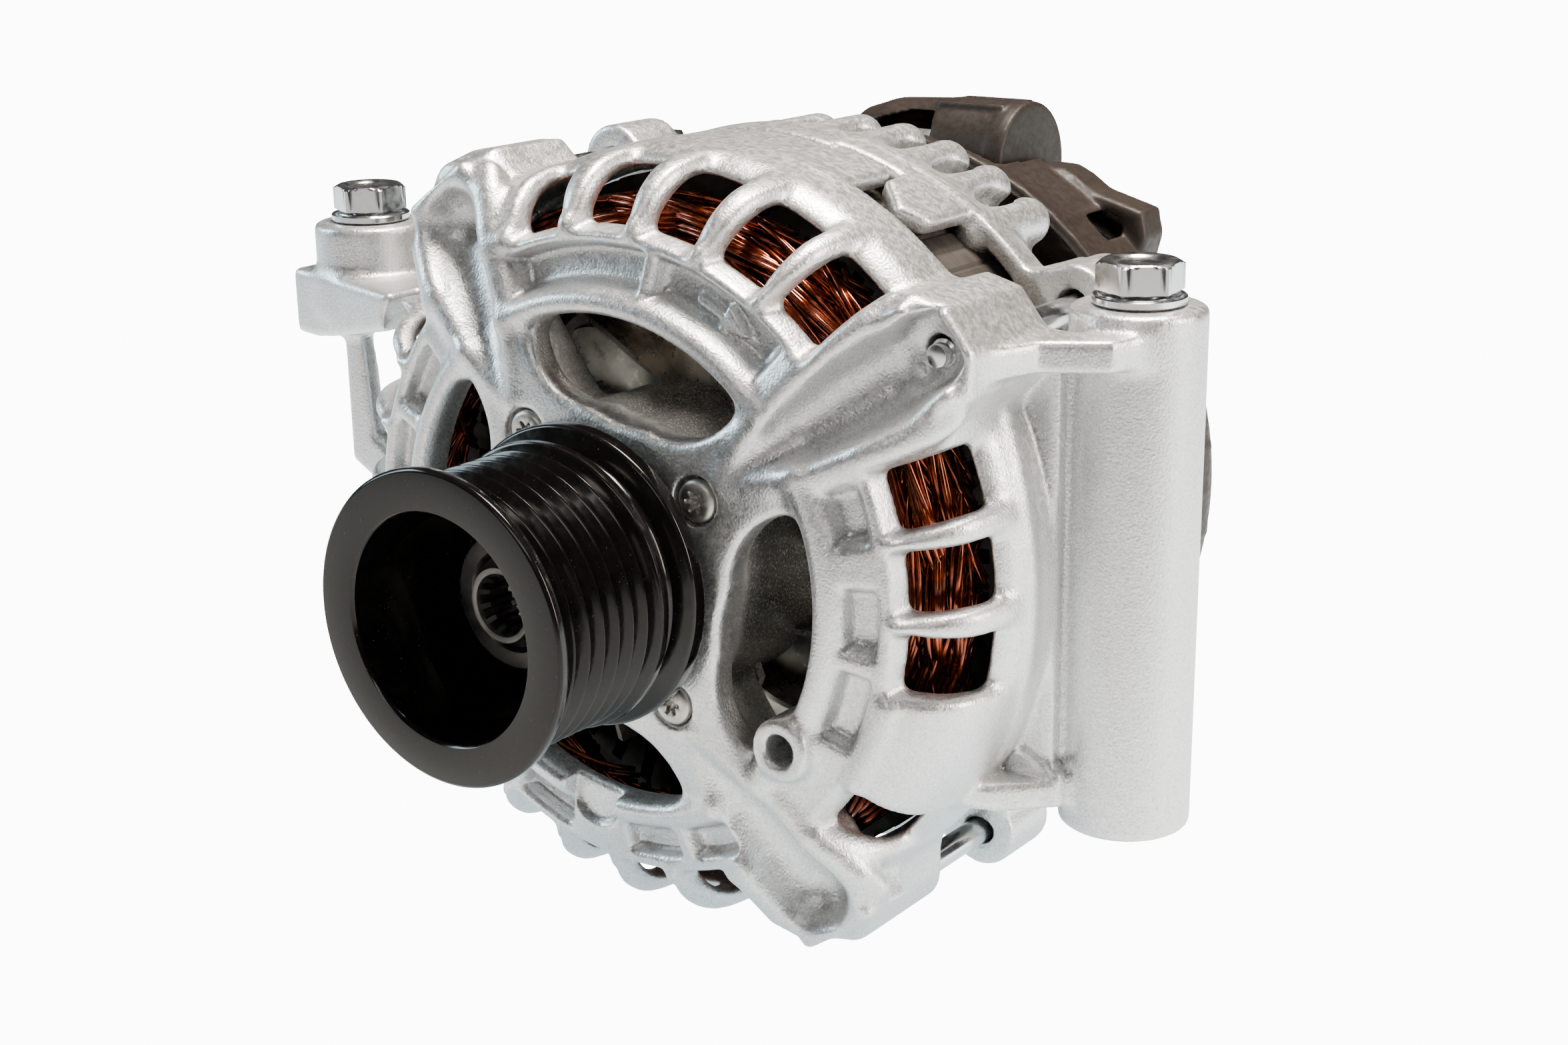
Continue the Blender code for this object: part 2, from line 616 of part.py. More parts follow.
def bearing_retainer():
    plate = turned("bearing_retainer_plate", [(17 * MM, 58.4 * MM), (25.5 * MM, 58.4 * MM),
                                              (25.5 * MM, 60.4 * MM), (17 * MM, 60.4 * MM)],
                   ZINC, 20, ring=True)

    def ears(bm):
        for degrees in SPOKE_ANGLES:
            x, z = polar(SCREW_CIRCLE_R, degrees)
            add_cylinder(bm, (x, 58.5 * MM, z), (x, 60.3 * MM, z), 5.2 * MM, 8)
    join(plate, "retainer_ears", ears)

    def holes(bm):
        for degrees in SPOKE_ANGLES:
            x, z = polar(SCREW_CIRCLE_R, degrees)
            add_cylinder(bm, (x, 56 * MM, z), (x, 63 * MM, z), 2.4 * MM, 6)
    cut(plate, "retainer_holes", holes)
    for number, degrees in enumerate(SPOKE_ANGLES, start=1):
        x, z = polar(SCREW_CIRCLE_R, degrees)
        name = "retainer_screw_%d" % number
        profile = [(0.0, 40.4), (1.8, 40.4), (1.8, 39.4), (3.7, 39.6), (3.7, 41.1), (2.0, 41.1),
                   (2.0, 61.0), (0.0, 61.0)]
        screw = turned(name, [(r * MM, y * MM) for r, y in profile], STEEL, 10)
        screw.location = (x, 0.0, z)


def through_bolts():
    for number, degrees in enumerate(SPOKE_ANGLES, start=1):
        x, z = polar(BOLT_CIRCLE_R, degrees)

        def bolt(bm, x=x, z=z):
            outline = [(x + a, z + b) for a, b in hexagon(8 * MM)]
            add_prism(bm, outline, 111.9 * MM, 116.5 * MM)
        head = solid("through_bolt_%d" % number, ZINC, bolt)
        join(head, "through_bolt_shank_%d" % number,
             lambda bm, x=x, z=z: add_cylinder(bm, (x, 53.6 * MM, z), (x, 113 * MM, z), 2.5 * MM, 12))


def mounting_bolt(side, x, y, seat_z, length):
    washer_top = seat_z + GAP + 1.6 * MM
    head_low = washer_top + GAP

    def ring(bm):
        add_cylinder(bm, (x, y, seat_z + GAP), (x, y, washer_top), 8 * MM, 24)
    washer = solid("mounting_washer_" + side, ZINC, ring)
    cut(washer, "washer_hole_" + side,
        lambda bm: add_cylinder(bm, (x, y, seat_z - MM), (x, y, washer_top + MM), 4.4 * MM, 12))

    def head(bm):
        outline = [(x + a, y + b) for a, b in hexagon(13 * MM, 37)]
        add_prism(bm, outline, head_low, head_low + 5.3 * MM, 'Z')
    bolt = solid("mounting_bolt_" + side, ZINC, head)
    join(bolt, "mounting_shank_" + side,
         lambda bm: add_cylinder(bm, (x, y, seat_z - length), (x, y, head_low + MM), M8_R, 12))


# ------------------------------------------------------------------ brushes and electrics

def brush_gear():
    def block(bm):
        add_box(bm, (-9 * MM, 129.5 * MM, 11 * MM), (9 * MM, 146.2 * MM, 46 * MM))
    holder = solid("brush_holder", PLASTIC, block)

    def channels(bm):
        for y in SLIP_RING_Y:
            add_box(bm, (-3 * MM, y - 2.4 * MM, 5 * MM), (3 * MM, y + 2.4 * MM, 43.4 * MM))
    cut(holder, "brush_channels", channels)

    for number, y in enumerate(SLIP_RING_Y, start=1):
        low = SLIP_RING_R + GAP

        def brush(bm):
            add_box(bm, (-2.6 * MM, -2.0 * MM, low), (2.6 * MM, 2.0 * MM, 26 * MM))
        solid("brush_%d" % number, CARBON, brush, at=(0.0, y, 0.0))
        coil_spring("brush_spring_%d" % number, (0.0, y), 26.5 * MM, 42.9 * MM)


def coil_spring(name, centre, low, high, turns=3, radius=1.6 * MM, wire=0.3 * MM):
    points = turns * 6 + 1
    curve = bpy.data.curves.new(name, 'CURVE')
    curve.dimensions = '3D'
    curve.bevel_depth = wire
    curve.bevel_resolution = 2
    curve.use_fill_caps = True
    spline = curve.splines.new('POLY')
    spline.points.add(points - 1)
    for i, point in enumerate(spline.points):
        turn = 2 * math.pi * turns * i / (points - 1)
        height = low + wire + (high - low - 2 * wire) * i / (points - 1)
        point.co = (centre[0] + radius * math.cos(turn), centre[1] + radius * math.sin(turn), height, 1.0)
    spring = bpy.data.objects.new(name, curve)
    PARTS.objects.link(spring)
    spring.parent = FRAME
    curve.materials.append(STEEL)


def rectifier():
    """Two crescent heat sinks with their press-fit diodes, either side of the brush gear."""
    for name, low, radius in (("negative_heat_sink", 129.6, 58.0), ("positive_heat_sink", 139.5, 54.0)):
        def plate(bm, low=low, radius=radius):
            add_prism(bm, sector(24 * MM, radius * MM, 120, 400, 15), low * MM, (low + 2.4) * MM)
        sink = solid(name, HEAT_SINK, plate)

        def diodes(bm, low=low):
            for degrees in (135, 178, 290, 340, 385):
                x, z = polar(42 * MM, degrees + (12 if low > 135 else 0))
                add_cylinder(bm, (x, (low + 1) * MM, z), (x, (low + 5.6) * MM, z), 5.4 * MM, 10)
        join(sink, name + "_diodes", diodes)
    x, z = STUD_PLACE

    def stud(bm):
        add_cylinder(bm, (x, 142.4 * MM, z), (x, 168 * MM, z), 3.9 * MM, 16)
    bolt = solid("battery_stud", ZINC, stud)
    join(bolt, "battery_stud_head",
         lambda bm: add_cylinder(bm, (x, 142.3 * MM, z), (x, 149.2 * MM, z), 6.4 * MM, 16))

    def nut(bm):
        add_prism(bm, [(x + a, z + b) for a, b in hexagon(13 * MM)], 152.6 * MM, 159 * MM)
    nut = solid("battery_nut", ZINC, nut)
    cut(nut, "battery_nut_hole", lambda bm: add_cylinder(bm, (x, 150 * MM, z), (x, 162 * MM, z),
                                                         4.2 * MM, 16))


def rear_cover():
    shell = [(COVER_R - 4 * MM, COVER_Y[0]), (COVER_R, COVER_Y[0]), (COVER_R, 146 * MM),
             (COVER_R - 2 * MM, 150.4 * MM), (COVER_R - 6 * MM, COVER_Y[1]), (0.0, COVER_Y[1])]
    inner = [(0.0, 149.8 * MM), (COVER_R - 7 * MM, 149.8 * MM), (COVER_R - 4 * MM, 148.2 * MM),
             (COVER_R - 2.2 * MM, 145 * MM), (COVER_R - 2.2 * MM, 128.6 * MM), (COVER_R - 4 * MM, 128.6 * MM)]
    cover = turned("rear_cover", shell + inner, PLASTIC, 32, ring=True)

    def openings(bm):
        for degrees in (150, 180, 270, 305, 340, 15):
            add_beam(bm, degrees, [(30 * MM, 2.0 * MM, 140 * MM, 160 * MM),
                                   (55 * MM, 3.6 * MM, 140 * MM, 160 * MM)])
        add_cylinder(bm, (STUD_PLACE[0], 140 * MM, STUD_PLACE[1]), (STUD_PLACE[0], 160 * MM, STUD_PLACE[1]),
                     4.6 * MM, 16)
        add_box(bm, (-16 * MM, 131.4 * MM, 44 * MM), (28 * MM, 160 * MM, 80 * MM))
    cut(cover, "cover_openings", openings)


def connector():
    """Plug socket of the regulator: a round shroud whose mouth opens towards -X."""
    def shroud(bm):
        add_cylinder(bm, (-13 * MM, HOOD_Y, HOOD_Z), (25 * MM, HOOD_Y, HOOD_Z), HOOD_R, 28)
    hood = solid("connector_housing", PLASTIC, shroud)

    def foot(bm):
        add_box(bm, (2 * MM, 135 * MM, 49.6 * MM), (24 * MM, 154 * MM, 60 * MM))
    join(hood, "connector_foot", foot)
    cut(hood, "connector_mouth",
        lambda bm: add_cylinder(bm, (-20 * MM, HOOD_Y, HOOD_Z), (12 * MM, HOOD_Y, HOOD_Z),
                                HOOD_R - 1.8 * MM, 28))
    for number, offset in enumerate((-4.5 * MM, 0.0, 4.5 * MM), start=1):
        solid("connector_pin_%d" % number, ZINC,
              lambda bm, z=HOOD_Z + offset: add_box(bm, (-4 * MM, HOOD_Y - 0.4 * MM, z - 1.2 * MM),
                                                    (11.7 * MM, HOOD_Y + 0.4 * MM, z + 1.2 * MM)))


def main():
    drive_end_shield()
    slip_ring_end_shield()
    stator()
    rotor()
    pulley()
    bearing("front", FRONT_BEARING)
    bearing("rear", REAR_BEARING)
    bearing_retainer()
    through_bolts()
    mounting_bolt("right", TUBE_X, TUBE_Y, TUBE_Z[1], 85 * MM)
    mounting_bolt("left", LUG_X, LUG_Y, LUG_Z[1], 20 * MM)
    brush_gear()
    rectifier()
    rear_cover()
    connector()


main()
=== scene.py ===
"""Looks of the car alternator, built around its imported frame.

Inside this script a place is given in millimetres from the centre of the pulley's front face:
X to the right, Y rearwards along the shaft, Z up. to_row() turns that into the frame's metres.
"""

import math

import bmesh
import bpy
import numpy as np
from mathutils import Matrix, Vector


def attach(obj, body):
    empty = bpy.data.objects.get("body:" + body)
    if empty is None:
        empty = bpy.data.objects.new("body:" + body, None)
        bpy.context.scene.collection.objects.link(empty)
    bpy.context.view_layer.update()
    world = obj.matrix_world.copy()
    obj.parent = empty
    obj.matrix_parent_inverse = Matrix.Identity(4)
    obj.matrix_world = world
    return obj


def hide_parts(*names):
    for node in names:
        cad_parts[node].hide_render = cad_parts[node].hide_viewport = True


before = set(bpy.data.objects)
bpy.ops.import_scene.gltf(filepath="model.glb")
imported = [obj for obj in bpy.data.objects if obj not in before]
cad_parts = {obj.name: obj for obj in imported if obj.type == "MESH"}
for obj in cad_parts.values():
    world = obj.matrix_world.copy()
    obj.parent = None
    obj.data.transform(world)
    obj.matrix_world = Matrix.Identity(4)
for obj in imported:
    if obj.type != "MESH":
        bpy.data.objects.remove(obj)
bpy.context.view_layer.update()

MM = 0.001
SHAFT = np.array((10.2, -84.0, 71.0))       # pulley's front-face centre in the frame
STEP = 0.6           # grid step of the castings

SPOKES = (35.5, 125.5, 215.5, 305.5)        # directions of the four spokes, in degrees
SCREW_CIRCLE = 27.2                         # radii round the shaft
CORE_SEAT_R = 65.9
SKIRT_R = 70.9
BOLT_CIRCLE = 74.5
TUBE = (78.0, 89.5)                         # the right bolt's and the left bolt's axis, in x and y
LUG = (-95.0, 80.5)
BOLT_SEAT = 47.0
BOSS = (38.8, -25.6)                        # axes along the shaft's direction, in x and z
STUD = (-36, -26)


def to_row(points):
    return (np.asarray(points, float) + SHAFT) * MM


# ------------------------------------------------------------------ signed-distance castings

def soft_min(a, b, k):
    if k <= 0:
        return np.minimum(a, b)
    h = np.maximum(k - np.abs(a - b), 0) / k
    return np.minimum(a, b) - h * h * k * 0.25


def soft_max(a, b, k=1.0):
    return -soft_min(-a, -b, k)


def all_of(*fields, k=1.0):
    result = fields[0]
    for field in fields[1:]:
        result = soft_max(result, field, k)
    return result


class Casting:
    """A solid held as signed distances on a grid; shapes are blended in with rounded joints."""

    def __init__(self, low, high, step):
        self.low = np.array(low, float)
        self.step = step
        self.size = np.ceil((np.array(high) - self.low) / step).astype(int) + 1
        self.d = np.full(tuple(self.size), 60.0, np.float32)

    def grid(self, low, high, margin):
        first = np.floor((np.array(low) - margin - self.low) / self.step).astype(int)
        last = np.ceil((np.array(high) + margin - self.low) / self.step).astype(int) + 1
        first, last = np.clip(first, 0, self.size), np.clip(last, 0, self.size)
        axes = [(self.low[i] + self.step * np.arange(first[i], last[i])).astype(np.float32)
                for i in range(3)]
        where = tuple(slice(a, b) for a, b in zip(first, last))
        return where, axes[0][:, None, None], axes[1][None, :, None], axes[2][None, None, :]

    def blend(self, shape, low, high, k, sign):
        if low is None:
            low, high = self.low, self.low + self.step * self.size
        where, x, y, z = self.grid(low, high, k + 2 * self.step)
        now = self.d[where]
        if now.size:
            self.d[where] = sign * soft_min(sign * now, shape(x, y, z), k)

    def add(self, shape, low=None, high=None, k=2.0):
        self.blend(shape, low, high, k, 1)

    def cut(self, shape, low=None, high=None, k=1.5):
        self.blend(shape, low, high, k, -1)

    def add_rod(self, points, k):
        self.add(rod(points), *rod_box(points), k)

    def cut_rod(self, points, k):
        self.cut(rod(points), *rod_box(points), k)

    def add_spoke(self, degrees, half, u0, u1, y0, y1, k):
        """Radial block, blended in a box of whole millimetres."""
        box = spoke_box(degrees, math.ceil(half), math.floor(u0), math.ceil(u1), math.floor(y0),
                        math.ceil(y1))
        self.add(spoke_field(degrees, half, u0, u1, y0, y1), *box, k)

    def mesh(self, name, relax=2):
        """Closed skin through the zero level, one vertex per crossed cell, smoothed relax times."""
        inside = self.d < 0
        inside[0], inside[-1] = False, False
        inside[:, 0], inside[:, -1] = False, False
        inside[:, :, 0], inside[:, :, -1] = False, False
        n = self.size - 1
        corners = [(i, j, k) for i in (0, 1) for j in (0, 1) for k in (0, 1)]
        filled = np.zeros(tuple(n), np.uint8)
        for i, j, k in corners:
            filled += inside[i:n[0] + i, j:n[1] + j, k:n[2] + k]
        active = (filled > 0) & (filled < 8)
        cells = np.argwhere(active)
        index = np.full(tuple(n), -1, np.int32)
        index[active] = np.arange(len(cells))
        total = np.zeros((len(cells), 3))
        number = np.zeros(len(cells))
        for corner in corners:
            for axis in range(3):
                if corner[axis]:
                    continue
                other = list(corner)
                other[axis] = 1
                a = self.d[tuple((cells + corner).T)].astype(float)
                b = self.d[tuple((cells + other).T)].astype(float)
                crossed = (a < 0) != (b < 0)
                t = np.where(crossed, a / np.where(crossed, a - b, 1), 0)
                point = np.tile(np.array(corner, float), (len(cells), 1))
                point[:, axis] += t
                total[crossed] += point[crossed]
                number[crossed] += 1
        verts = self.low + self.step * (cells + total / np.maximum(number, 1)[:, None])
        quads = []
        for axis in range(3):
            one, two = (axis + 1) % 3, (axis + 2) % 3
            low = [slice(1, -1)] * 3
            high = [slice(1, -1)] * 3
            low[axis], high[axis] = slice(0, -1), slice(1, None)
            a, b = inside[tuple(low)], inside[tuple(high)]
            found = np.argwhere(a != b)
            start = found.copy()
            start[:, one] += 1
            start[:, two] += 1
            ring = []
            for da, db in ((1, 1), (0, 1), (0, 0), (1, 0)):
                cell = start.copy()
                cell[:, one] -= da
                cell[:, two] -= db
                ring.append(index[tuple(cell.T)])
            ring = np.stack(ring, 1)
            outward = a[tuple(found.T)]
            ring[~outward] = ring[~outward][:, ::-1]
            quads.append(ring)
        quads = np.concatenate(quads)
        for _ in range(relax):
            near = np.zeros_like(verts)
            count = np.zeros(len(verts))
            for i in range(4):
                a, b = quads[:, i], quads[:, (i + 1) % 4]
                for c in range(3):
                    near[:, c] += np.bincount(a, verts[b, c], len(verts))
                    near[:, c] += np.bincount(b, verts[a, c], len(verts))
                count += np.bincount(a, minlength=len(verts))
                count += np.bincount(b, minlength=len(verts))
            verts = verts * 0.5 + 0.5 * near / np.maximum(count, 1)[:, None]
        return make_mesh(name, to_row(verts), quads)


def add_object(name, data):
    obj = bpy.data.objects.new(name, data)
    bpy.context.scene.collection.objects.link(obj)
    return obj


def make_mesh(name, verts, faces, smooth=True):
    """Object from arrays of places in metres and of faces with one number of corners."""
    mesh = bpy.data.meshes.new(name)
    faces = np.asarray(faces)
    mesh.vertices.add(len(verts))
    mesh.vertices.foreach_set("co", np.asarray(verts, np.float32).ravel())
    width = faces.shape[1]
    mesh.loops.add(faces.size)
    mesh.loops.foreach_set("vertex_index", faces.astype(np.int32).ravel())
    mesh.polygons.add(len(faces))
    mesh.polygons.foreach_set("loop_start", np.arange(0, faces.size, width, dtype=np.int32))
    mesh.update(calc_edges=True)
    if smooth:
        mesh.shade_smooth()
    return add_object(name, mesh)


# Shapes: each returns a function of the grid's x, y and z that gives a signed distance.

def from_shaft(x, z):
    return np.sqrt(x * x + z * z)


def revolved(section):
    """Field of a section, given by radius and y, turned round the shaft."""
    return lambda x, y, z: section(from_shaft(x, z), y)


def rounded(one, two, edge):
    """Two fields cut with each other, their common corner rounded."""
    return np.sqrt(np.maximum(one, 0) ** 2 + np.maximum(two, 0) ** 2) \
        + np.minimum(np.maximum(one, two), 0) - edge


def rod(points):
    """Chain of round rods. Each point is (x, y, z, radius)."""
    def field(x, y, z):
        best = None
        for a, b in zip(points, points[1:]):
            ax, ay, az, ra = a
            bx, by, bz, rb = b
            length2 = (bx - ax) ** 2 + (by - ay) ** 2 + (bz - az) ** 2 + 1e-9
            t = ((x - ax) * (bx - ax) + (y - ay) * (by - ay) + (z - az) * (bz - az)) / length2
            t = np.clip(t, 0, 1)
            d = np.sqrt((x - ax - t * (bx - ax)) ** 2 + (y - ay - t * (by - ay)) ** 2
                        + (z - az - t * (bz - az)) ** 2) - (ra + t * (rb - ra))
            best = d if best is None else np.minimum(best, d)
        return best
    return field


def block(low, high, radius=0.6):
    """Box with rounded edges."""
    mid = (np.array(low, float) + high) / 2
    half = (np.array(high, float) - low) / 2 - radius

    def field(x, y, z):
        dx = np.abs(x - mid[0]) - half[0]
        dy = np.abs(y - mid[1]) - half[1]
        dz = np.abs(z - mid[2]) - half[2]
        outside = np.sqrt(np.maximum(dx, 0) ** 2 + np.maximum(dy, 0) ** 2 + np.maximum(dz, 0) ** 2)
        return outside + np.minimum(np.maximum(dx, np.maximum(dy, dz)), 0) - radius
    return field


def drum(axis, centre, radius, low, high, edge=0.6):
    """Cylinder with rounded ends; centre is its place across the axis, in the order of x, y, z."""
    mid, half = (low + high) / 2, (high - low) / 2 - edge

    def field(x, y, z):
        a, b, along = {'X': (y, z, x), 'Y': (x, z, y), 'Z': (x, y, z)}[axis]
        side = np.sqrt((a - centre[0]) ** 2 + (b - centre[1]) ** 2)
        return rounded(side - (radius - edge), np.abs(along - mid) - half, edge)
    return field


def plate(axis, outline, low, high, edge=0.8):
    """Flat outline, convex or not, carried along an axis, with rounded edges."""
    points = np.array(outline, float)

    def field(x, y, z):
        a, b, along = {'Z': (x, y, z), 'Y': (x, z, y)}[axis]
        a, b = np.broadcast_arrays(a, b)
        best = None
        sign = np.ones(a.shape, np.float32)
        for (px, py), (qx, qy) in zip(points, np.roll(points, 1, axis=0)):
            ex, ey = qx - px, qy - py
            wx, wy = a - px, b - py
            t = np.clip((wx * ex + wy * ey) / (ex * ex + ey * ey), 0, 1)
            d = (wx - ex * t) ** 2 + (wy - ey * t) ** 2
            best = d if best is None else np.minimum(best, d)
            up = (b >= py) & (b < qy) & (ex * wy > ey * wx)
            down = (b < py) & (b >= qy) & (ex * wy < ey * wx)
            sign = np.where(up | down, -sign, sign)
        return rounded(sign * np.sqrt(best) + edge,
                       np.abs(along - (low + high) / 2) - (high - low) / 2 + edge, edge)
    return field


def torus(radius, level, thick):
    return revolved(lambda r, y: np.sqrt((r - radius) ** 2 + (y - level) ** 2) - thick)


def spoke_field(degrees, half, u0, u1, y0, y1):
    """Radial block: half its width, then its range outwards and along the shaft."""
    c, s = math.cos(math.radians(degrees)), math.sin(math.radians(degrees))

    def field(x, y, z):
        u, v = x * c + z * s, -x * s + z * c
        return all_of(np.abs(v) - half, u0 - u, u - u1, y0 - y, y - y1, k=1.5)
    return field


# Places round the shaft, and the boxes that shapes are blended in.

def polar(radius, degrees):
    return radius * math.cos(math.radians(degrees)), radius * math.sin(math.radians(degrees))


def spoke_point(degrees, u, v, y):
    """Place u outwards along a direction and v to its side."""
    c, s = math.cos(math.radians(degrees)), math.sin(math.radians(degrees))
    return u * c - v * s, y, u * s + v * c


def spoke_chain(degrees, *stations):
    """Points of a rod above a spoke. Each station is (distance outwards, y, radius)."""
    return [(*spoke_point(degrees, u, 0, y), r) for u, y, r in stations]


def turn_from(x, z, degrees):
    """Angle away from a direction, in radians, as a field."""
    c, s = math.cos(math.radians(degrees)), math.sin(math.radians(degrees))
    return np.arctan2(-x * s + z * c, x * c + z * s)


def rod_box(points):
    p = np.array(points, float)
    return (p[:, :3] - p[:, 3:]).min(0), (p[:, :3] + p[:, 3:]).max(0)


def outline_box(outline, low, high):
    """Box about an outline in x and z, between two levels of y."""
    xs, zs = zip(*outline)
    return (min(xs), low, min(zs)), (max(xs), high, max(zs))


def around(centre, reach, low, high):
    """Box about a line that runs along the shaft's direction."""
    x, z = centre
    return (x - reach, low, z - reach), (x + reach, high, z + reach)


def sector_box(r0, r1, first, last, y0, y1):
    steps = 12
    return outline_box([polar(r, first + (last - first) * i / steps) for r in (r0, r1)
                        for i in range(steps + 1)], y0, y1)


def spoke_box(degrees, half, u0, u1, y0, y1):
    return outline_box([spoke_point(degrees, u, v, y0)[::2] for u in (u0, u1)
                        for v in (-half, half)], y0, y1)


# ------------------------------------------------------------------ drive-end shield

WINDOWS = (50.6, 63.8, 77.8, 91.6, 106.0,       # top
           18.9, 5.8, -7.6,                     # right
           -73, -87, -100, -113, -127,          # below
           196, 183, 170, 157, 144)             # left
SKIRT_END = 76.9


def front_outer(r, y):
    """Distance field of the shield's outside as if it had no openings."""
    return all_of(39.0 - y,
                  (6 * (r - 30) - 30 * (y - 39.0)) / 30.6,
                  (4.6 * (r - 62.2) - 5.4 * (y - 45.5)) / 7.09,
                  (6.5 * (r - 68.9) - 2.4 * (y - 52.0)) / 6.93,
                  r - 71.0, k=2.6)


def front_inner(r, y):
    wall = 6.2 - 1.5 * np.clip((r - 54.0) / 4.0, 0, 1) - 1.1 * np.clip((y - 49.0) / 9.0, 0, 1)
    return all_of(front_outer(r, y) + wall, (6 * (r - 30) - 30 * (y - 44.0)) / 30.6, k=1.0)


def window_cut(degrees, width=11.8, rear=61.4):
    """Opening with sloping sides between two arched ribs, from the face over the shoulder."""
    def field(x, y, z):
        r = from_shaft(x, z)
        depth = front_outer(r, y)
        side = np.abs(turn_from(x, z, degrees)) * r - (width / 2 + 0.24 * np.clip(depth, -7, 3))
        back = soft_min(y - 60.4, (y - rear - 1.3 * (r - 68.4)) / 1.64, 1.6)
        near = 0.97 * (58.3 - r) + 0.22 * (y - 44.8)
        return all_of(side, back, near, r - 80, k=1.8)
    return field


def pocket_cut(first, last, inner, outer, depth):
    """Shallow pocket in the face, with sloping walls."""
    middle, half = (first + last) / 2, math.radians(last - first) / 2

    def field(x, y, z):
        r = from_shaft(x, z)
        skin = front_outer(r, y)
        side = (np.abs(turn_from(x, z, middle)) - half) * r - 0.4 * skin - 0.8
        return all_of(side, inner - r - 0.3 * skin, r - outer - 0.3 * skin, -skin - depth, k=1.0)
    return field


def kidney_cut(middle, half=33.0, outer=44.4):
    """Air window between two spokes, wider at its middle."""
    def field(x, y, z):
        r = from_shaft(x, z)
        turn = np.degrees(turn_from(x, z, middle))
        hub = 28.2 + 7.5 * np.clip((np.abs(turn) - 17) / 17, 0, 1.4) ** 1.6 \
            - 0.9 * np.cos(np.radians(turn * 9))
        side = (np.abs(turn) - half) * np.radians(1) * 38 + (44 - r) * 0.10
        return all_of(r - outer, hub - r, side, k=5.0)
    return field


def add_tab(cast, first, last, front, rear, inner):
    """Part of the skirt that reaches over the core, between two angles."""
    middle, half = (first + last) / 2, math.radians(last - first) / 2

    def field(x, y, z):
        r = from_shaft(x, z)
        side = (np.abs(turn_from(x, z, middle)) - half) * r
        return all_of(side, front - y, y - rear, r - SKIRT_R, inner - r, k=1.3)
    cast.add(field, *sector_box(66, 71, first, last, front, rear), 1.0)


def spoke_ridge(degrees, side):
    stations = ((33.0, 0.3, 42.9, 2.7), (40.0, 2.8, 43.5, 3.0), (48.5, 6.4, 45.1, 3.4),
                (61, 9.1, 47.6, 3.7), (68, 9.9, 50.5, 3.4), (72.0, 9.9, 52.8, 2.6))
    return [(*spoke_point(degrees, u, side * v, y), r) for u, v, y, r in stations]


def spoke_trough(degrees):
    return spoke_chain(degrees, (37.0, 38.6, 0.8), (43, 40.2, 2.6), (51, 42.4, 4.8),
                       (60, 44.6, 6.2), (68, 47.6, 6.6), (73, 49.2, 6.0))


def add_ears(cast):
    """Angular ears for the two upper through-bolts, round ones for the others."""
    ears = ((51.4, [(58, 9.5), (70, 11.8), (77, 9.6), (81.2, 4.6), (81.6, -4), (77, -9.6),
                    (70, -11), (58, -9.5)]),
            (56.4, [(58, 3), (70, 4.4), (76, 3.6), (78.8, 0), (79.4, -5), (77, -9.6),
                    (70, -11), (58, -9.5)]))
    for degrees, (front, ear) in zip(SPOKES, ears):
        outline = [spoke_point(degrees, u, v, 0)[::2] for u, v in ear]
        cast.add(plate('Y', outline, front, SKIRT_END, 1.6), *outline_box(outline, 51, 78), 2.6)
    for degrees, size in zip(SPOKES[1:], (5.6, 7.2, 5.0)):
        centre = polar(74.3, degrees)
        cast.add(drum('Y', centre, size, 52.8, SKIRT_END, 1.5), *around(centre, 8, 52, 78), 3.6)
        centre = polar(67.5, degrees)
        cast.add(drum('Y', centre, 8.6, 53.6, SKIRT_END, 1.0), *around(centre, 9, 52, 78), 3.0)


def add_right_bracket(cast):
    """Rounded shoulder, web, two arms, the lower one's gusset, and the bolt tube."""
    cast.add_rod([(*spoke_point(a, 69.2, 0, 68.4 + 0.004 * (a - 4) ** 2), 2.3)
                  for a in range(-26, 31, 4)], 1.4)
    cast.add(block((60, 76.2, -37.6), (70.6, 90, 39.6), 1.0), (59, 75, -38), (72, 90, 40), 1.6)
    upper = [(52, 58.4), (68.4, 55.4), (72.6, 66.5), (82.5, 72.5), (86, 84), (84, 90), (74, 76.5),
             (66, 77.5), (56, 81.5), (50, 81)]
    lower = [(54.5, 61), (60, 63.6), (72.4, 76.0), (74, 81), (74, 90), (60, 91)]
    gusset = [(55, -40), (55, -27.5), (63, -29.8), (72.6, -34.6), (72.6, -40)]
    cast.add(plate('Z', upper, 38.6, 44.2, 1.0), (49, 54, 38), (87, 91, 45), 1.0)
    cast.add(plate('Z', lower, -41.0, -35.6, 1.0), (53, 59, -42), (86, 92, -34), 1.2)
    cast.add(plate('Y', gusset, 75.4, 84, 0.8), (54, 74, -41), (74, 85, -26), 1.2)
    cast.add(drum('Z', TUBE, 11.6, -46, BOLT_SEAT, 1.1), (66, 77, -46), (90, 102, 47), 2.2)


def add_left_lug(cast):
    """Wedge-shaped lug, its round boss and the strut below it."""
    lug = [(-109.8, 71.4), (-96, 68.2), (-60, 58), (-60, 82), (-86, 91.3), (-109.8, 88.6)]
    under = [(-101, 23.2), (-58, 32.5), (-58, 12), (-101, 12)]
    strut = [(-97.6, 26), (-92.4, 26), (-90.6, 3), (-67, -12), (-67, -19.6), (-97.6, -3)]
    cast.add(plate('Z', lug, 23.2, 37.0, 1.3), (-111, 57, 23), (-59, 92, 38), 2.6)
    cast.cut(plate('Y', under, 50, 96, 1.0), (-102, 57, 22), (-72, 93, 34), 1.4)
    cast.add(drum('Z', LUG, 11.6, 28, BOLT_SEAT, 1.3), (-107, 68, 28), (-83, 93, 47), 2.4)
    cast.add(plate('Y', strut, 72.8, 77.4, 1.2), (-99, 72, -20), (-66, 78, 26), 2.4)


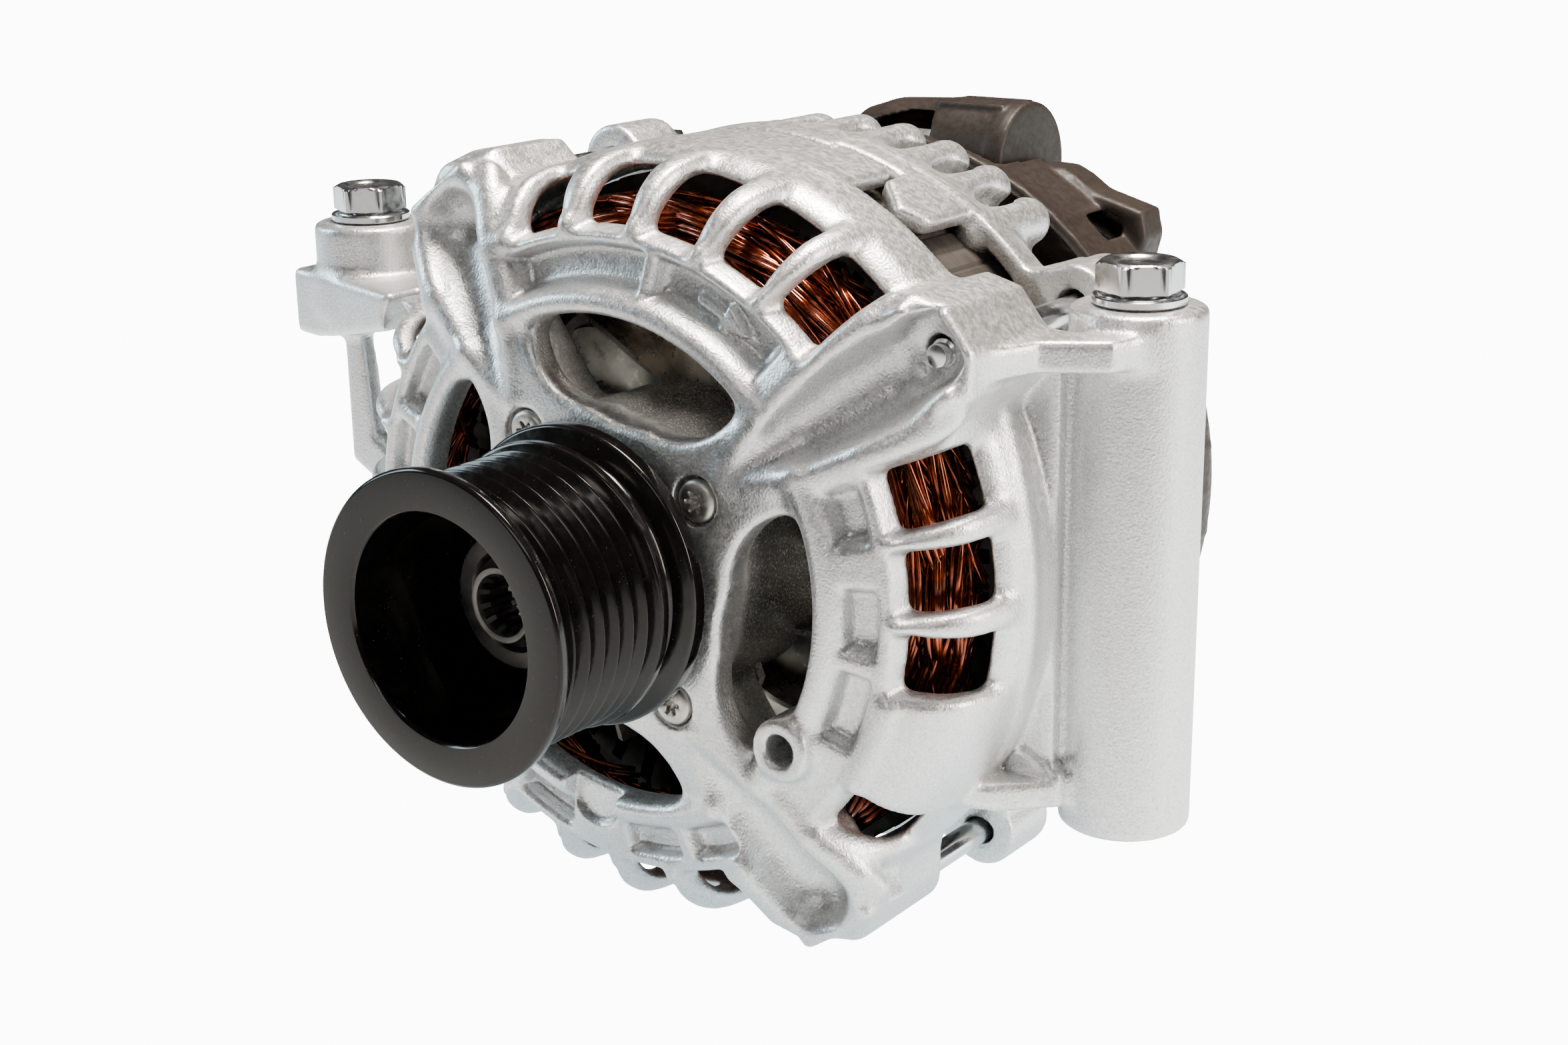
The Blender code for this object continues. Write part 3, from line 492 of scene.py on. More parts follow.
def hollow_front(cast):
    """Inside of the shield: cavity, spoke roots, seats of the core and the bearing, hub."""
    cast.cut(revolved(lambda r, y: all_of(front_inner(r, y), 28.0 - r, k=1.5)), k=0.8)
    for degrees in SPOKES:
        cast.add_spoke(degrees, 7.8, 44, 60, 45.5, 54.0, 1.0)
        cast.add_spoke(degrees, 8.6, 54, 66, 47.5, 58.6, 1.0)
        cast.add_spoke(degrees, 8.8, 63.4, 73, 50, 61, 1.0)
    cast.add(revolved(lambda r, y: all_of(r - 67.4, CORE_SEAT_R - r, 69.5 - y, y - 77.0, k=0.3)), k=0.3)
    cast.cut(revolved(lambda r, y: np.maximum(r - CORE_SEAT_R, 72.2 - y)), k=0.3)

    def hub_wall(x, y, z):
        wave = np.cos(4 * turn_from(x, z, SPOKES[0]))
        ledge = np.clip(y - 46.5, 0, 1) * (1.6 - 0.8 * wave) + np.clip(y - 50.5, 0, 1) * 0.7
        return all_of(from_shaft(x, z) - 27.8 + ledge, 40.5 - y, y - 58, k=0.8)
    cast.add(hub_wall, (-28, 40, -28), (28, 59, 28), 1.0)
    for degrees in SPOKES:
        cast.add_spoke(degrees, 5.6, 25, 48, 42, 57, 2.5)
    cast.cut(revolved(lambda r, y: np.minimum(np.maximum(r - 23.8, 43.6 - y), r - 16.0)),
             (-28, 36, -28), (28, 62, 28), 0.6)


def open_front(cast):
    """Kidney windows, the spokes' troughs, side windows and the face's pockets."""
    for degrees in SPOKES:
        middle = degrees + 43.8
        cast.cut(kidney_cut(middle), *sector_box(26, 46, middle - 36, middle + 36, 36, 70), 1.8)
    for degrees, stations in zip(SPOKES, (6, 5, 6, 5)):
        cast.cut_rod(spoke_trough(degrees)[:stations], 2.6)
    recess = [spoke_point(SPOKES[0], u, v, 0)[::2] for u, v in
              ((70, 4.6), (75, 6.4), (79.8, 5.4), (79.6, -4.2), (76, -5.4), (70, -4.6))]
    cast.cut(plate('Y', recess, 40, 54.4, 1.4), *outline_box(recess, 46, 56), 1.4)
    for degrees in WINDOWS:
        cast.cut(window_cut(degrees), *sector_box(56, 73, degrees - 6, degrees + 6, 42, 67), 1.8)
    cast.cut(window_cut(-38.0, 11.0), *sector_box(56, 73, -45, -31, 42, 67), 1.8)
    pockets = (((49.0, 56.8, 4.2), ((81.5, 113), (49.5, 78))),
               ((49.5, 56.0, 3.4), ((13.5, 23), (-7, 4.5), (-26, -12), (-72, -62), (-88.5, -76.5),
                                    (-117, -104), (143, 156), (161, 173), (178, 189))))
    for sizes, spans in pockets:
        for first, last in spans:
            cast.cut(pocket_cut(first, last, *sizes),
                     *sector_box(46, 60, first - 2, last + 2, 38, 52), 0.9)
    cast.cut(drum('Y', (-6, -46), 5.8, 36, 45.0, 0.8), *around((-6, -46), 6, 36, 46), 1.2)


def drill_front(cast):
    """Threaded boss and every bolt's and screw's hole."""
    cast.add(drum('Y', BOSS, 5.6, 39.6, 53, 0.7), (33, 39, -32), (45, 53, -19), 2.4)
    cast.cut(drum('Y', BOSS, 2.9, 36, 56, 0.2), (35, 36, -30), (43, 56, -22), 0.6)
    for degrees, closed in zip(SPOKES, (False, True, False, True)):
        centre = polar(SCREW_CIRCLE, degrees)
        cast.cut(drum('Y', centre, 4.3, 35, 41.3, 0.3), *around(centre, 5, 35, 42), 0.7)
        cast.cut(drum('Y', centre, 2.2, 36, 64, 0.1), *around(centre, 3, 36, 64), 0.2)
        centre = polar(BOLT_CIRCLE, degrees)
        if not closed:
            cast.cut(drum('Y', centre, 4.6, 44, 55.2, 1.6), *around(centre, 5, 44, 56), 1.8)
        cast.cut(drum('Y', centre, 2.7, 53.4 if closed else 44, 100, 0.1),
                 *around(centre, 4, 44, 100), 0.2)
    cast.cut(drum('Z', TUBE, 4.3, -60, 60, 0.1), (73, 85, -47), (83, 94, 48), 0.6)
    cast.cut(drum('Z', LUG, 4.3, 10, 60, 0.1), (-100, 76, 20), (-90, 85, 48), 0.6)


def drive_end_shield(step):
    cast = Casting((-110.6, 37.6, -72.4), (91.0, 102.6, 72.4), step)
    cast.add(revolved(lambda r, y: all_of(front_outer(r, y), y - 77.0, k=0.8)), k=0)
    add_ears(cast)
    for degrees in SPOKES:
        for side in (1, -1):
            cast.add_rod(spoke_ridge(degrees, side), 2.0)
    for degrees in SPOKES:
        cast.add_spoke(degrees, 8.8, 58, 76.5, 48.4, 61, 2.6)
    for radius, level, thick in ((46.4, 42.9, 2.1), (59.2, 45.6, 1.9)):
        cast.add(torus(radius, level, thick), (-62, 38, -62), (62, 50, 62), 1.8)
    for first, last, rear in ((33.0, 41.0, 84.6), (66.6, 76.4, 91.0), (76.0, 116, 88.2),
                              (217, 226, 87), (241.5, 256.5, 88.4)):
        add_tab(cast, first, last, 73, rear, 66.2)
    add_right_bracket(cast)
    add_left_lug(cast)
    hollow_front(cast)
    open_front(cast)
    drill_front(cast)
    # Direction arrow, raised from the pocket's floor
    arrow = [polar(r, a) for a, r in ((69, 51.4), (69, 53.0), (62.4, 52.9), (62.4, 54.9),
                                      (55.6, 52.2), (62.4, 49.7), (62.4, 51.3))]
    cast.add(plate('Y', arrow, 45.8, 49.8, 0.2), (17, 45.2, 42), (31, 50, 51), 0.15)
    return cast.mesh("drive_end_casting", 3)


# ------------------------------------------------------------------ slip-ring-end shield

FINGERS = tuple(tuple(first + pitch * k for k in range(count))
                for first, pitch, count in ((53.5, 8.6, 9), (-56, -8.6, 9), (148, 8.6, 7), (-26, 8.6, 7)))


def rear_outer(r, y):
    """Distance field of the rear shield's outside as if it had no openings."""
    return all_of(y - 126.5, (12.0 * (r - 68.0) + 7.0 * (y - 108.0)) / 13.89,
                  (15.0 * (r - 70.8) + 5.0 * (y - 102.5)) / 15.81, r - SKIRT_R, k=2.0)


def finger_gap(middle):
    """Small hole between two fingers."""
    def field(x, y, z):
        r = from_shaft(x, z)
        return all_of(np.abs(turn_from(x, z, middle)) * r - 2.3, 107.0 - y, y - 114.4, 58 - r, k=1.6)
    return field


def rear_vent(middle):
    def field(x, y, z):
        r = from_shaft(x, z)
        side = (np.abs(turn_from(x, z, middle)) - math.radians(24)) * r
        return all_of(side, 25.4 - r, r - 53, k=4.0)
    return field


def slanted_tab(x, y, z):
    """Tab of the rear shield whose front edge is a shallow V."""
    r, turn = from_shaft(x, z), turn_from(x, z, 60.3)
    degrees = np.degrees(turn) + 60.3
    front = 79.8 + 1.05 * np.clip(degrees - 59.3, 0, 9) + 0.9 * np.clip(59.3 - degrees, 0, 9)
    return all_of((np.abs(turn) - math.radians(5.3)) * r, front - y, y - 100, r - SKIRT_R,
                  66.4 - r, k=1.3)


def rear_hub(r, y):
    wall = all_of(r - 21.6, 112.2 - y, y - 128.4, k=0.8)
    seat = np.minimum(np.maximum(r - 17.5, y - 126.2), r - 9.6)
    return np.maximum(wall, -seat)


def slip_ring_end_shield(step):
    cast = Casting((-82.5, 78.5, -72.4), (82.5, 129.8, 72.4), step)
    cast.add(revolved(lambda r, y: all_of(rear_outer(r, y), 97.2 - y, k=0.8)), k=0)
    for degrees in SPOKES:
        centre = polar(BOLT_CIRCLE, degrees)
        cast.add(drum('Y', centre, 7.2, 97.3, 111.6, 1.0), *around(centre, 8, 97, 112), 3.4)
        cast.add_spoke(degrees, 8.4, 60, 73, 98, 112, 3.0)
    for first, last, front in ((65.6, 77.6, 91.6), (77.2, 116, 88.8), (228, 241, 89.2)):
        add_tab(cast, first, last, front, 100, 66.4)
    cast.add(slanted_tab, *sector_box(66, 71, 54, 67, 79.6, 100), 1.0)
    cast.cut(revolved(lambda r, y: all_of(rear_outer(r, y) + 3.6, y - 122.6, 21.5 - r, k=1.2)), k=0.8)
    cast.cut(revolved(lambda r, y: np.maximum(r - CORE_SEAT_R, y - 101.3)), k=0.3)
    for degrees in sum(FINGERS, ()):
        cast.add_rod(spoke_chain(degrees, (66.6, 100, 4.0), (66.2, 117.4, 4.5)), 0.9)
        cast.add_rod(spoke_chain(degrees, (63.5, 104, 3.6), (62.0, 117, 4.0)), 0.9)
    for fingers in FINGERS:
        for one, two in zip(fingers, fingers[1:]):
            middle = (one + two) / 2
            cast.cut_rod(spoke_chain(middle, (71.0, 105.0, 1.4), (68.6, 110, 2.2), (64.5, 119, 2.3)), 1.2)
            cast.cut(finger_gap(middle), *sector_box(58, 74, middle - 3, middle + 3, 106, 116), 1.4)
    for middle in range(5, 360, 60):
        cast.cut(rear_vent(middle), *sector_box(25, 54, middle - 26, middle + 26, 118, 128), 0.8)
    cast.add(revolved(rear_hub), *around((0, 0), 22, 112, 129), 0.8)
    for degrees in SPOKES:
        centre = polar(BOLT_CIRCLE, degrees)
        cast.cut(drum('Y', centre, 5.4, 111.7, 126, 0.3), *around(centre, 6, 111, 127), 0.5)
        cast.cut(drum('Y', centre, 2.9, 90, 115, 0.1), *around(centre, 4, 90, 115), 0.2)
    # Room for the right bracket's bolt tube
    cast.cut(drum('Z', TUBE, 12.3, -50, 50, 0.1), (65, 77, -50), (91, 102, 50), 0.6)
    return cast.mesh("slip_ring_end_casting")


# ------------------------------------------------------------------ moulded plastic

def cover_shell(inset, rear):
    return lambda r, y: all_of(r - 66 + inset, y - rear, (r + y - 212.4 + 1.4 * inset) / 1.414, k=3.0)


def cover_slot(degrees):
    c, s = math.cos(math.radians(degrees)), math.sin(math.radians(degrees))

    def field(x, y, z):
        u, v = x * c + z * s, -x * s + z * c
        return all_of(np.abs(v) - 1.7, 32 - u, u - 54, 144 - y, k=1.2)
    return field


def rear_cover(step):
    cast = Casting((-67.8, 125.8, -67.8), (67.8, 153.6, 75.0), step)
    outside, inside = cover_shell(0.0, 152.0), cover_shell(2.2, 149.8)
    cast.add(revolved(lambda r, y: np.maximum(outside(r, y), 127.0 - y)), k=0)
    cast.cut(revolved(inside), k=0.4)
    # Radial ribs, rim bead and the collar round the stud
    for degrees in range(7, 367, 15):
        cast.add_rod(spoke_chain(degrees, (58, 151.4, 0.8), (65.2, 144.5, 0.9), (65.4, 130, 0.9)), 0.8)
    bead = [spoke_chain(a, (65.2, 128.2, 1.0))[0] for a in range(0, 361, 6)]
    for pair in zip(bead, bead[1:]):
        cast.add_rod(pair, 0.5)
    cast.add(drum('Y', STUD, 8.6, 148, 152.4, 0.8), *around(STUD, 9, 147, 153), 1.0)
    cast.cut(drum('Y', STUD, 6.9, 147, 160, 0.2), *around(STUD, 8, 146, 155), 0.4)
    for middle in (150, 180, 270, 305, 340, 15):
        for degrees in (middle - 9, middle, middle + 9):
            cast.cut(cover_slot(degrees), *spoke_box(degrees, 3, 30, 56, 143, 154), 0.6)
    # Notch for the connector
    cast.cut(block((-14.2, 131.4, 46), (25.4, 160, 80), 1.0), (-17, 130, 45), (29, 154, 75), 0.4)
    # Bracket beside the connector: an arch and a post, a triangular and a round opening, a brace
    bracket = [(14, 48), (17.5, 54.5), (22, 57.6), (27, 59.4), (31.4, 59.2), (34.8, 57.6),
               (38.6, 55.0), (49.2, 52.1), (50.3, 47), (48.7, 41), (41, 34), (24, 36)]
    opening = [(31.2, 54.0), (44.6, 50.6), (45.4, 46.6), (39.5, 42.0), (32.6, 44.6)]
    cast.add(plate('Y', bracket, 143.6, 152.2, 1.2), (13, 142, 33), (51, 154, 60), 1.0)
    cast.cut(plate('Y', opening, 135, 150.6, 0.8), (30, 140, 41), (46, 152, 55), 0.6)
    cast.add_rod([(32.0, 147.0, 51.4, 1.3), (44.0, 147.0, 44.4, 1.3)], 0.8)
    cast.cut(drum('Y', (25.2, 54.0), 3.2, 136, 150.2, 0.3), (21, 138, 50), (29, 152, 58), 0.6)
    return cast.mesh("rear_cover_moulding", 1)


def connector(step):
    """Round hood that lies along X, its mouth to the left."""
    cast = Casting((-14.4, 130.4, 44.6), (26.4, 158.6, 73.4), step)
    hood = [(-10, 144.5, 57.2, 11.8), (-4, 144.5, 58.4, 12.4), (11, 144.5, 59.1, 12.4),
            (24, 144.5, 59.1, 12.4)]
    outer, inner = rod(hood), rod([(a, b, c, r - 1.9) for a, b, c, r in hood])
    cast.add(lambda x, y, z: all_of(outer(x, y, z), -13.4 - x, x - 24.6, k=0.8), k=0)
    cast.add(drum('X', (144.5, 59.1), 12.5, 20.4, 23.2, 0.4), (20, 131, 46), (24, 158, 72), 0.4)
    cast.add(block((3, 135, 49.6), (24, 154, 58), 1.0), (2, 134, 49), (25, 155, 59), 1.5)
    cast.add(block((6, 138.5, 68.6), (21.5, 150.5, 71.2), 0.5), (5, 138, 68), (22, 151, 72), 0.4)
    cast.cut(lambda x, y, z: all_of(inner(x, y, z), x - 9.6, -12.0 - x, k=0.8),
             (-15, 131, 45), (10, 158, 73), 0.4)
    front = [(-20, 40), (-20, 61.0), (-13, 64.4), (-6, 67.4), (1, 69.2), (6.0, 69.2), (7.2, 66), (7.2, 40)]
    cast.cut(plate('Y', front, 120, 147, 1.2), (-15, 130, 44), (8, 148, 70), 0.5)
    cast.cut(block((-25, 120, 40), (-13.2, 170, 80), 0.2), (-15, 130, 44), (-11, 159, 74), 0.3)
    return cast.mesh("plug_socket_moulding", 1)


# ------------------------------------------------------------------ turned, pressed and wound pieces

SHARP = 32          # degrees
CHAMFER = 0.55      # slope of a hexagon's corner cone


def soften(points, size, steps):
    """Round every corner of an open outline."""
    points = [np.array(p, float) for p in points]
    result = [points[0]]
    for before, corner, after in zip(points, points[1:], points[2:]):
        one, two = before - corner, after - corner
        a, b = np.linalg.norm(one), np.linalg.norm(two)
        reach = min(size, 0.45 * a, 0.45 * b)
        start, end = corner + one / a * reach, corner + two / b * reach
        for i in range(steps + 1):
            t = i / steps
            result.append((1 - t) ** 2 * start + 2 * t * (1 - t) * corner + t * t * end)
    return result + [points[-1]]


def spun(name, outline, centre=(0, 0), axis='Y', steps=96, shape=None, ring=False, flat=SHARP):
    """Outline of (radius, along) turned round an axis; shape may vary the radius with the turn,
    ring closes the outline, and edges over flat degrees are sharp."""
    turn = np.linspace(0, 2 * math.pi, steps, endpoint=False)
    verts, rings, faces = [], [], []
    for radius, along in outline:
        single = radius < 1e-6
        angle = turn[:1] if single else turn
        value = shape(radius, along, angle) if shape and not single else radius
        a, b = centre[0] + value * np.cos(angle), centre[1] + value * np.sin(angle)
        level = np.full(len(angle), float(along))
        rings.append(np.arange(len(angle)) + sum(len(v) for v in verts))
        verts.append(np.stack((a, level, b) if axis == 'Y' else (a, b, level), 1))
    pairs = list(zip(rings, rings[1:]))
    if ring:
        pairs.append((rings[-1], rings[0]))
    for one, two in pairs:
        for i in range(steps):
            j = (i + 1) % steps
            corners = [one[i % len(one)], one[j % len(one)], two[j % len(two)], two[i % len(two)]]
            faces.append(list(dict.fromkeys(int(c) for c in corners)))
    return finish_mesh(name, np.concatenate(verts), faces, flat)


def finish_mesh(name, verts, faces, flat=SHARP):
    """Object from places in millimetres and faces of any size, with its normals put right."""
    mesh = bpy.data.meshes.new(name)
    mesh.from_pydata(to_row(verts).tolist(), [], [f for f in faces if len(f) > 2])
    bm = bmesh.new()
    bm.from_mesh(mesh)
    bmesh.ops.recalc_face_normals(bm, faces=bm.faces)
    bm.to_mesh(mesh)
    bm.free()
    mesh.shade_smooth()
    mesh.set_sharp_from_angle(angle=math.radians(flat))
    return add_object(name, mesh)


def join_pieces(name, pieces):
    """Several pieces as one object."""
    bm = bmesh.new()
    for piece in pieces:
        bm.from_mesh(piece.data)
        bpy.data.objects.remove(piece)
    mesh = bpy.data.meshes.new(name)
    bm.to_mesh(mesh)
    bm.free()
    mesh.set_sharp_from_angle(angle=math.radians(SHARP))
    return add_object(name, mesh)


def hexagonal(across_flats, turned, chamfer):
    """Shape that makes a hexagon of the outline's points at half the width across flats;
    chamfer gives the cone that takes its corners off."""
    def shape(radius, along, turn):
        if radius != across_flats / 2:
            return radius
        off = (turn - math.radians(turned)) % math.radians(60) - math.radians(30)
        return np.minimum(across_flats / 2 / np.cos(off), chamfer(along))
    return shape


def tubes(name, paths, radius):
    """Many six-sided wires as one mesh; paths is an array of wires by points by 3."""
    sides = 6
    count, points = paths.shape[:2]
    tangent = np.gradient(paths, axis=1)
    tangent /= np.linalg.norm(tangent, axis=2, keepdims=True)
    normal = np.cross(tangent[:, 0], (0.3, 0.9, 0.2))
    verts = np.zeros((count, points, sides, 3))
    angle = np.linspace(0, 2 * math.pi, sides, endpoint=False)
    for i in range(points):
        normal -= (normal * tangent[:, i]).sum(1, keepdims=True) * tangent[:, i]
        normal /= np.linalg.norm(normal, axis=1, keepdims=True)
        other = np.cross(tangent[:, i], normal)
        verts[:, i] = paths[:, i, None] + radius * (np.cos(angle)[None, :, None] * normal[:, None]
                                                    + np.sin(angle)[None, :, None] * other[:, None])
    first = np.arange(points - 1)[:, None] * sides
    one = (first + np.arange(sides)).ravel()
    two = (first + (np.arange(sides) + 1) % sides).ravel()
    skin = np.stack((one, two, two + sides, one + sides), 1)
    last = (points - 1) * sides
    caps = np.array([[3, 2, 1, 0], [5, 4, 3, 0], [last, last + 1, last + 2, last + 3],
                     [last, last + 3, last + 4, last + 5]])
    quads = np.concatenate((skin, caps))
    quads = (quads[None] + np.arange(count)[:, None, None] * points * sides).reshape(-1, 4)
    return make_mesh(name, to_row(verts.reshape(-1, 3)), quads)


def winding(name, root, crown, seed):
    """Coil ends: bundles of enamelled wire that lean over one another from slot to slot."""
    random = np.random.default_rng(seed)
    t = np.linspace(0, 1, 20)
    rise = np.sin(math.pi * (0.04 + 0.92 * t)) ** 0.45
    lean, outer = (0.4, 63.6) if crown < root else (-0.4, 60.6)
    low, high = min(root, crown) + lean, max(root, crown) + lean
    strands, wire = 8, 0.52
    paths = []
    # Each layer: radius, share of the height, span in degrees, number of bundles
    layers = ((55.2, 1.00, 52, 18), (58.6, 0.93, -46, 18), (61.0, 0.72, 40, 24),
              (60.2, 0.50, -34, 24), (57.0, 0.62, 58, 18))
    for radius, height, span, bundles in layers:
        for k in range(bundles):
            start = 360 / bundles * (k + random.uniform(-0.25, 0.25))
            reach = span * random.uniform(0.85, 1.15)
            lift = height * random.uniform(0.92, 1.06)
            for strand in range(strands):
                twist = math.tau * strand / strands + random.uniform(-0.4, 0.4) + random.uniform(2, 5) * t
                spread = random.uniform(0.5, 1.75)
                turn = np.radians(start + reach * t + random.uniform(-1.2, 1.2))
                y = root + (crown - root) * np.clip(rise * lift, 0, 1.0) + spread * np.sin(twist) * rise
                r = radius + spread * np.cos(twist) + 0.8 * np.sin(math.pi * t) * random.uniform(-1, 1)
                r, y = np.clip(r, 52.2, outer), np.clip(y, low, high)
                paths.append(np.stack((r * np.cos(turn), y, r * np.sin(turn)), 1))
    return tubes(name, np.array(paths), wire)


def stator_core():
    """Stack of thin sheets: slots inside, shallow grooves along the outside."""
    per_slot, slots = 12, 48
    steps = per_slot * slots

    def shape(radius, along, turn):
        phase = np.round(turn / math.tau * steps).astype(int) % per_slot
        if radius < 60:
            return np.where((phase > 3) & (phase < 9), 60.0, radius)
        groove = np.where(phase % 6 == 0, radius - 0.35, radius)
        return np.where((phase // 6) % 2 == 0, groove, groove - 0.12)
    outline = [(50.0, 72.7), (65.3, 72.7), (65.5, 72.9), (65.5, 100.1), (65.3, 100.3), (50.0, 100.3)]
    return spun("stator_stack", outline, steps=steps, shape=shape, ring=True, flat=20)


def pulley():
    """Cup, front flange, six V ribs, land, relief groove and back flange."""
    ribs, pitch = 6, 3.56
    outline = [(8.8, 27.5), (17.6, 27.5), (19.5, 25.6), (19.5, 0.7), (20.0, 0.0), (26.5, 0.0),
               (27.0, 0.5), (27.0, 1.7), (26.6, 2.2), (22.0, 4.6)]
    for k in range(ribs):
        crest = 6.2 + pitch * k
        outline += [(24.35, crest - 0.26), (24.6, crest), (24.35, crest + 0.26), (22.1, crest + 1.6),
                    (22.0, crest + 1.78), (22.1, crest + 1.96)]
    outline = outline[:-3] + [(22.3, 25.6), (25.0, 26.6), (25.4, 26.9), (25.4, 28.4), (24.9, 28.8),
                              (23.2, 29.2), (22.9, 29.8), (22.9, 31.4), (23.2, 32.0), (26.6, 33.0),
                              (27.0, 33.5), (27.0, 35.9), (26.5, 36.4), (8.8, 36.4)]
    return spun("belt_pulley", soften(outline + outline[:1], 0.18, 2)[:-1], steps=192, ring=True, flat=24)


def pulley_nut():
    outline = [(8.4, 18.2), (9.0, 17.6), (11.0, 17.6), (12.0, 17.65), (12.0, 18.1), (12.0, 18.9),
               (12.0, 24.4), (10.9, 24.9), (16.6, 25.0), (16.9, 25.4), (16.9, 27.0), (8.4, 27.1)]
    corners = hexagonal(24.0, 9, lambda along: 11.6 + (along - 17.6) / CHAMFER)
    return spun("flanged_nut", outline, steps=120, shape=corners, ring=True, flat=24)


def shaft():
    """Shaft with a splined drive socket and a few thread turns at its front end."""
    def splines(radius, along, turn):
        if radius > 4.95 or along > 24:
            return radius
        return radius + 0.36 * np.clip(2.2 * np.cos(12 * turn), -1, 1)
    outline = [(0.0, 22.8), (4.1, 22.6), (4.6, 22.2), (4.6, 17.0), (5.2, 15.6), (5.5, 15.1),
               (5.9, 15.0), (6.5, 15.0), (6.8, 15.3), (6.8, 17.0), (8.0, 17.6)]
    for k in range(8):
        outline += [(7.4, 18.2 + 1.25 * k), (8.0, 18.8 + 1.25 * k)]
    outline += [(8.0, 28.0), (8.5, 28.6), (8.5, 60.0), (10.0, 60.2), (10.0, 112.0), (7.5, 112.3),
                (7.5, 129.0), (5.0, 129.4), (5.0, 145.4), (4.4, 146.0), (0.0, 146.0)]
    return spun("shaft", outline, steps=144, shape=splines, flat=28)


def star_screw(name, degrees):
    def lobes(radius, along, turn):
        if radius > 1.9 or along > 41.5:
            return radius
        return radius + 0.42 * np.cos(6 * turn)
    outline = [(0.0, 40.9), (1.0, 40.8), (1.45, 40.5), (1.5, 39.75), (2.1, 39.5), (3.0, 39.55),
               (3.6, 39.9), (3.85, 40.4), (3.85, 41.0), (2.0, 41.2), (2.0, 60.4), (1.6, 61.0),
               (0.0, 61.0)]
    return spun(name, outline, polar(SCREW_CIRCLE, degrees), steps=72, shape=lobes, flat=40)


def through_bolt(name, degrees):
    """Long bolt with a plain tip in front and a hexagon head at the rear."""
    outline = [(0.0, 53.6), (1.5, 53.6), (1.85, 53.75), (2.0, 54.1), (2.0, 55.6), (2.5, 56.0),
               (2.5, 111.9), (4.0, 112.0), (4.0, 115.9), (4.0, 116.4), (3.4, 116.5), (0.0, 116.5)]
    corners = hexagonal(8.0, 0, lambda along: 3.9 + (116.4 - along) / CHAMFER)
    return spun(name, outline, polar(BOLT_CIRCLE, degrees), steps=60, shape=corners, flat=30)


def mounting_bolt(side, axis, length):
    """Upright bolt with a dished hexagon head, and its two washers."""
    seat, grooves = BOLT_SEAT, 14
    low = seat + 2.2
    top = low + 5.3
    outline = [(0.0, top - 0.5), (4.2, top - 0.5), (4.6, top - 0.15), (5.0, top), (6.5, top),
               (6.5, top - 0.2), (6.5, top - 0.4), (6.5, top - 0.7), (6.5, low + 0.25), (6.3, low),
               (4.0, low)]
    for k in range(grooves):
        level = seat - 6 - (length - 8) * k / grooves
        outline += [(4.0, level), (3.6, level - 0.6)]
    outline += [(3.5, seat - length + 0.6), (3.0, seat - length), (0.0, seat - length)]
    corners = hexagonal(13.0, 36, lambda along: 6.25 + (top - along) / CHAMFER)
    bolt = spun("hex_bolt_" + side, outline, axis, 'Z', 120, corners, flat=24)
    washer = [(4.4, seat + 0.3), (7.8, seat + 0.3), (8.0, seat + 0.5), (8.0, seat + 1.5),
              (7.8, seat + 1.7), (7.0, seat + 1.75), (6.9, seat + 1.9), (4.4, seat + 1.9)]
    return bolt, spun("washer_pair_" + side, washer, axis, 'Z', 96, ring=True, flat=30)


def fan(name, disc_y, forward, seed):
    """Pressed sheet with blades of uneven spacing; forward is 1 or -1, the side they bend to."""
    random = np.random.default_rng(seed)
    blades = 11
    outline = [(10.4, disc_y), (44.5, disc_y), (45.0, disc_y - forward * 0.5),
               (44.5, disc_y - forward * 1.1), (10.4, disc_y - forward * 1.1)]

    def scallop(radius, along, turn):
        return radius - 5.0 * (0.5 - 0.5 * np.cos(blades * turn)) ** 0.7 if radius > 40 else radius
    pieces = [spun(name + "_disc", outline, steps=220, shape=scallop, ring=True)]
    tip = disc_y - forward * 7.8
    places = np.arange(blades) * 360 / blades + random.uniform(-3, 3, blades)
    for place in places:
        t = np.linspace(0, 1, 9)
        turn = np.radians(place + forward * (30 * t - 6 * t * t))
        r = 27 + 19.6 * t
        height = np.clip(0.62 + 1.2 * t, 0, 1)
        verts, faces = [], []
        for side in (-0.6, 0.6):
            for level in (0, 1):
                across = side / r
                y = disc_y - forward * 0.8 + (tip - disc_y + forward * 0.8) * height * level
                verts += list(zip(r * np.cos(turn + across), y, r * np.sin(turn + across)))
        n = len(t)
        loop = [0, n, 3 * n, 2 * n]
        for i in range(n - 1):
            for a, b in zip(loop, loop[1:] + loop[:1]):
                faces.append([a + i, b + i, b + i + 1, a + i + 1])
        faces += [[a for a in loop], [a + n - 1 for a in reversed(loop)]]
        pieces.append(finish_mesh(name + "_blade", np.array(verts), faces))
    return join_pieces(name + "_wheel", pieces)


# ------------------------------------------------------------------ materials

def opaque(colour):
    return (*colour, 1.0)


